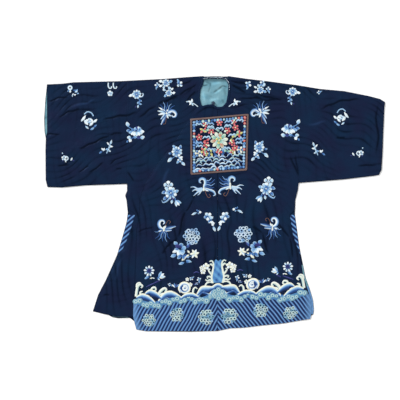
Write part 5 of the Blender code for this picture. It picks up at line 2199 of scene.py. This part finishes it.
def sew_badge():
    """A made-up pattern of rings of blossoms, leaves and clouds over rippled water."""
    work = Stitching("badge_embroidery", badge_top)
    chance = random.Random(11)
    sew_badge_rim(work, chance)
    sew_badge_water(work, chance)
    centre = badge_spot(0.0, 0.16, 1.0)
    sew_petals(work, centre, 0.0, 0.0, 10, 11.0, 26.0, 15.0, ("mist", "sea", "sand"), 8.0, 1.4)
    sew_badge_flower(work, centre, 7, ("sea", "olive"), 18.0)
    for bloom in range(10):
        angle = 36.0 * bloom + 18.0
        way = math.radians(angle)
        across, up = 0.5 * math.cos(way), 0.16 + 0.42 * math.sin(way)
        if bloom % 2:
            spot = badge_spot(across, up, 1.0, turn=angle)
            sew_badge_flower(work, spot, 5, ("coral", "coral", "cream"), 14.0)
        else:
            badge_cloud(work, across, up, 14.0, "ice", bloom > 4)
            badge_leaf_pair(work, across, up - 0.1, angle + 40, ("olive", "coral", "sea")[bloom % 3])
    for bloom in range(14):
        angle = 360.0 / 14 * bloom + 90.0
        way = math.radians(angle)
        across, up = 0.76 * math.cos(way), 0.2 + 0.62 * math.sin(way)
        if up < -0.3:
            continue
        if bloom % 3 == 0:
            sew_badge_flower(work, badge_spot(across, up, 1.0, turn=angle), 5, ("coral",), 14.0)
        elif bloom % 3 == 1:
            badge_cloud(work, across, up + 0.05, 14.0, "sky", across < 0)
            badge_cloud(work, across, up - 0.08, 12.0, "ice", across > 0)
        else:
            badge_leaf_pair(work, across, up, angle, "olive")
            badge_leaf_pair(work, across, up, angle + 70, "coral")
            badge_leaf_pair(work, across * 0.86, up, angle + 35, "sea")
    for side in (-1, 1):
        badge_cloud(work, 0.74 * side, 0.82, 13.0, "ice", side < 0)
        badge_cloud(work, 0.3 * side, 0.64, 13.0, "cloud", side < 0)
        badge_cloud(work, 0.22 * side, -0.2, 12.0, "cloud", side > 0)
        sew_badge_flower(work, badge_spot(0.52 * side, 0.8, 1.0), 5, ("coral", "cream"), 12.0)
        sew_badge_flower(work, badge_spot(0.78 * side, -0.27, 1.0), 6, ("blue", "cream"), 15.0)
        sew_badge_flower(work, badge_spot(0.5 * side, -0.3, 1.0), 5, ("olive", "coral"), 12.0)
        badge_leaf_pair(work, 0.15 * side, -0.33, 70 * side, "blue")
        badge_leaf_pair(work, 0.8 * side, 0.1, 80 * side, "sky")
    return work.end()


def sew_ribbon_marks():
    """Gold and olive crossings of the ribbon's woven pattern."""
    work = Stitching("badge_ribbon_stitches", lambda x, y: badge_top(x, y) + 0.35)
    inner = badge_corners()[1]
    middle = (even_loop(inner, RIBBON_MARKS) + even_loop(BADGE_CORNERS, RIBBON_MARKS)) / 2
    for index, (x, y) in enumerate(middle):
        ahead = middle[(index + 1) % RIBBON_MARKS] - middle[index - 1]
        ahead /= np.linalg.norm(ahead)
        side = np.array((-ahead[1], ahead[0])) * (2.0 if index % 2 else -2.0)
        work.strip([(x, y) - side - ahead * 1.6, (x, y) + side + ahead * 1.6], (0.9, 1.3, 0.9),
                   ("gold", "olive") if index % 3 else ("coral", "tan"), rows=2, pad=0.2, columns=2)
    return work.end()


# User settings


def cloth_colour(name, description, colour):
    return bpy.props.FloatVectorProperty(
        name=name, description=description, default=linear(colour), subtype="COLOR", size=3, min=0.0, max=1.0,
    )


class RobeCloth(bpy.types.PropertyGroup):
    ground: cloth_colour("Silk", "Colour of the silk ground", "#10233A")
    ground_shadow: cloth_colour("Silk, darker", "Darker patches of the silk ground", "#151B33")
    lining: cloth_colour("Lining", "Colour of the lining", "#769FAB")
    lining_shadow: cloth_colour("Lining, darker", "Darker patches of the lining", "#5A8797")


class RobeStage(bpy.types.PropertyGroup):
    view_width: bpy.props.FloatProperty(
        name="View width", description="Width of the floor that the camera sees", default=1.68, min=0.5,
        unit="LENGTH")
    key_power: bpy.props.FloatProperty(
        name="Key light", description="Strength of the main soft light", default=3.0, min=0.0)
    sky: bpy.props.FloatProperty(
        name="Fill", description="Strength of the even white surroundings", default=0.6, min=0.0)


# Stage

VIEW_CENTRE = Point(-62.4, 16.1)
LENS = 85.0
SENSOR = 36.0
FLOOR_DEPTH = 0.6
FLOOR_HALF = 15.0


def soft_light(name, place, spread, power):
    """A far soft light that shines from that side on the middle of the floor."""
    light = bpy.data.lights.new(name, "SUN")
    light.angle = math.radians(spread)
    light.energy = power
    lamp = bpy.data.objects.new(name, light)
    lamp.location = place
    lamp.rotation_euler = Vector(place).to_track_quat("Z", "Y").to_euler()
    bpy.context.scene.collection.objects.link(lamp)


def make_stage():
    settings = bpy.context.scene.robe_stage
    form = bmesh.new()
    bmesh.ops.create_grid(form, x_segments=1, y_segments=1, size=FLOOR_HALF)
    mesh = bpy.data.meshes.new("floor")
    form.to_mesh(mesh)
    form.free()
    mesh.materials.append(white_paper())
    floor = bpy.data.objects.new("floor", mesh)
    floor.location.z = -FLOOR_DEPTH * MM
    bpy.context.scene.collection.objects.link(floor)
    world = bpy.data.worlds.new("white studio")
    world.use_nodes = True
    backdrop = world.node_tree.nodes["Background"]
    backdrop.inputs["Color"].default_value = (1.0, 1.0, 1.0, 1.0)
    backdrop.inputs["Strength"].default_value = settings.sky
    bpy.context.scene.world = world
    bpy.context.scene.view_settings.view_transform = "Standard"
    soft_light("key", (-1.6, 1.5, 1.3), 18.0, settings.key_power)
    soft_light("fill", (1.5, -0.8, 2.4), 40.0, settings.key_power * 0.2)
    camera_data = bpy.data.cameras.new("camera")
    camera_data.lens = LENS
    camera_data.sensor_width = SENSOR
    camera = bpy.data.objects.new("camera", camera_data)
    camera.location = (VIEW_CENTRE.x * MM, VIEW_CENTRE.y * MM, settings.view_width * LENS / SENSOR)
    camera_data.clip_end = 50.0
    bpy.context.scene.collection.objects.link(camera)
    bpy.context.scene.camera = camera


# Operators


def finish_silk(piece, node):
    show(piece, navy_satin())
    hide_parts(node)


def show_stitches(piece):
    return show(piece, silk_floss())


class RobeOperator(bpy.types.Operator):
    """Shared by the robe's operators"""
    bl_options = {"REGISTER", "UNDO"}

    def execute(self, context):
        self.build()
        return {"FINISHED"}


class ROBE_OT_right_sleeve(RobeOperator):
    """The wearer's right sleeve and its embroidery"""
    bl_idname = "robe.right_sleeve"
    bl_label = "Right sleeve"

    def build(self):
        sewn = show_stitches(sew_motifs("right_sleeve"))
        finish_silk(make_right_sleeve(), "right_sleeve")


class ROBE_OT_left_sleeve(RobeOperator):
    """The wearer's left sleeve and its embroidery"""
    bl_idname = "robe.left_sleeve"
    bl_label = "Left sleeve"

    def build(self):
        sewn = show_stitches(sew_motifs("left_sleeve"))
        finish_silk(make_left_sleeve(), "left_sleeve")


class ROBE_OT_right_body(RobeOperator):
    """The underlap, its back, and what is sewn on them"""
    bl_idname = "robe.right_body"
    bl_label = "Right body length"

    def build(self):
        sewn = [show_stitches(sew_motifs("right_body")), show_stitches(sew_vent_bands("right"))]
        finish_silk(make_right_body(), "right_body")


class ROBE_OT_left_body(RobeOperator):
    """The left front, its back, and what is sewn on them"""
    bl_idname = "robe.left_body"
    bl_label = "Left body length"

    def build(self):
        sides = (edge_of_left_front, hem_of_left_front)
        border = sew_border("left_body", *sides, RIGHT_STRIPE_SLOPE, mirror_border)
        middle = Stitching("centre_medallion", front_top)
        sew_rock(middle)
        sew_medallion(middle)
        pieces = (
            sew_motifs("left_body"), border.end(), middle.end(), sew_vent_bands("left"), sew_pale_band(),
        )
        sewn = [show_stitches(piece) for piece in pieces]
        finish_silk(make_left_body(), "left_body")


class ROBE_OT_overlap(RobeOperator):
    """The lapped front and what is sewn on it"""
    bl_idname = "robe.overlap"
    bl_label = "Overlap"

    def build(self):
        border = sew_border("overlap", left_edge_of_overlap, hem_of_overlap, STRIPE_SLOPE)
        sewn = [show_stitches(piece) for piece in (sew_motifs("overlap"), border.end())]
        finish_silk(make_overlap(), "overlap")


class ROBE_OT_lining(RobeOperator):
    """The lining where it shows at the neck, the hem, the cuff and the vent"""
    bl_idname = "robe.lining"
    bl_label = "Lining"

    def build(self):
        for node, piece in make_linings():
            show(piece, teal_plain_silk())
            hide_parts(node)


class ROBE_OT_neck_trim(RobeOperator):
    """The neck's binding, and the knot button in its loop"""
    bl_idname = "robe.neck_trim"
    bl_label = "Neck binding and button"

    def build(self):
        binding = show(make_neck_binding(), navy_satin("navy silk binding"))
        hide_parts("neck_binding")
        show_stitches(sew_neck_dashes())
        seat = float(binding_crown(BUTTON.x, BUTTON.y))
        loop = make_button_loop(*BUTTON, seat + LOOP_CORD_RADIUS)
        show(loop, twisted_cord())
        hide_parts("button_loop")
        knot = make_knot(*BUTTON, seat + KNOT_HALF_HEIGHT)
        show(knot, twisted_cord())
        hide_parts("knot_button")


class ROBE_OT_badge(RobeOperator):
    """The square badge on the chest with its ribbon"""
    bl_idname = "robe.badge"
    bl_label = "Badge"

    def build(self):
        ribbon = show(make_badge_ribbon(), brown_brocade())
        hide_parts("badge_ribbon")
        stitches = show_stitches(sew_badge())
        sewn = [stitches, show_stitches(sew_ribbon_marks()), ribbon]
        badge = make_badge()
        show(badge, badge_ground())
        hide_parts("badge")


class ROBE_OT_stage(RobeOperator):
    """The white floor, soft lights and the camera straight above"""
    bl_idname = "robe.stage"
    bl_label = "Stage"

    def build(self):
        make_stage()


class ROBE_PT_pieces(bpy.types.Panel):
    """The robe's pieces and settings"""
    bl_idname = "ROBE_PT_pieces"
    bl_label = "Robe"
    bl_space_type = "VIEW_3D"
    bl_region_type = "UI"
    bl_category = "Robe"

    def draw(self, context):
        for settings in (context.scene.robe_cloth, context.scene.robe_stage):
            for field in settings.bl_rna.properties:
                if field.identifier not in ("rna_type", "name"):
                    self.layout.prop(settings, field.identifier)
        for operator in OPERATORS:
            self.layout.operator(operator.bl_idname)


OPERATORS = (
    ROBE_OT_right_sleeve, ROBE_OT_left_sleeve, ROBE_OT_right_body, ROBE_OT_left_body, ROBE_OT_overlap,
    ROBE_OT_lining, ROBE_OT_neck_trim, ROBE_OT_badge, ROBE_OT_stage,
)
CLASSES = (RobeCloth, RobeStage, *OPERATORS, ROBE_PT_pieces)


def register():
    for listed in CLASSES:
        bpy.utils.register_class(listed)
    bpy.types.Scene.robe_cloth = bpy.props.PointerProperty(type=RobeCloth)
    bpy.types.Scene.robe_stage = bpy.props.PointerProperty(type=RobeStage)


def unregister():
    del bpy.types.Scene.robe_cloth
    del bpy.types.Scene.robe_stage
    for listed in reversed(CLASSES):
        bpy.utils.unregister_class(listed)


def main():
    register()
    for operator in OPERATORS:
        getattr(bpy.ops.robe, operator.bl_idname.split(".")[1])()


if __name__ == "__main__":
    main()
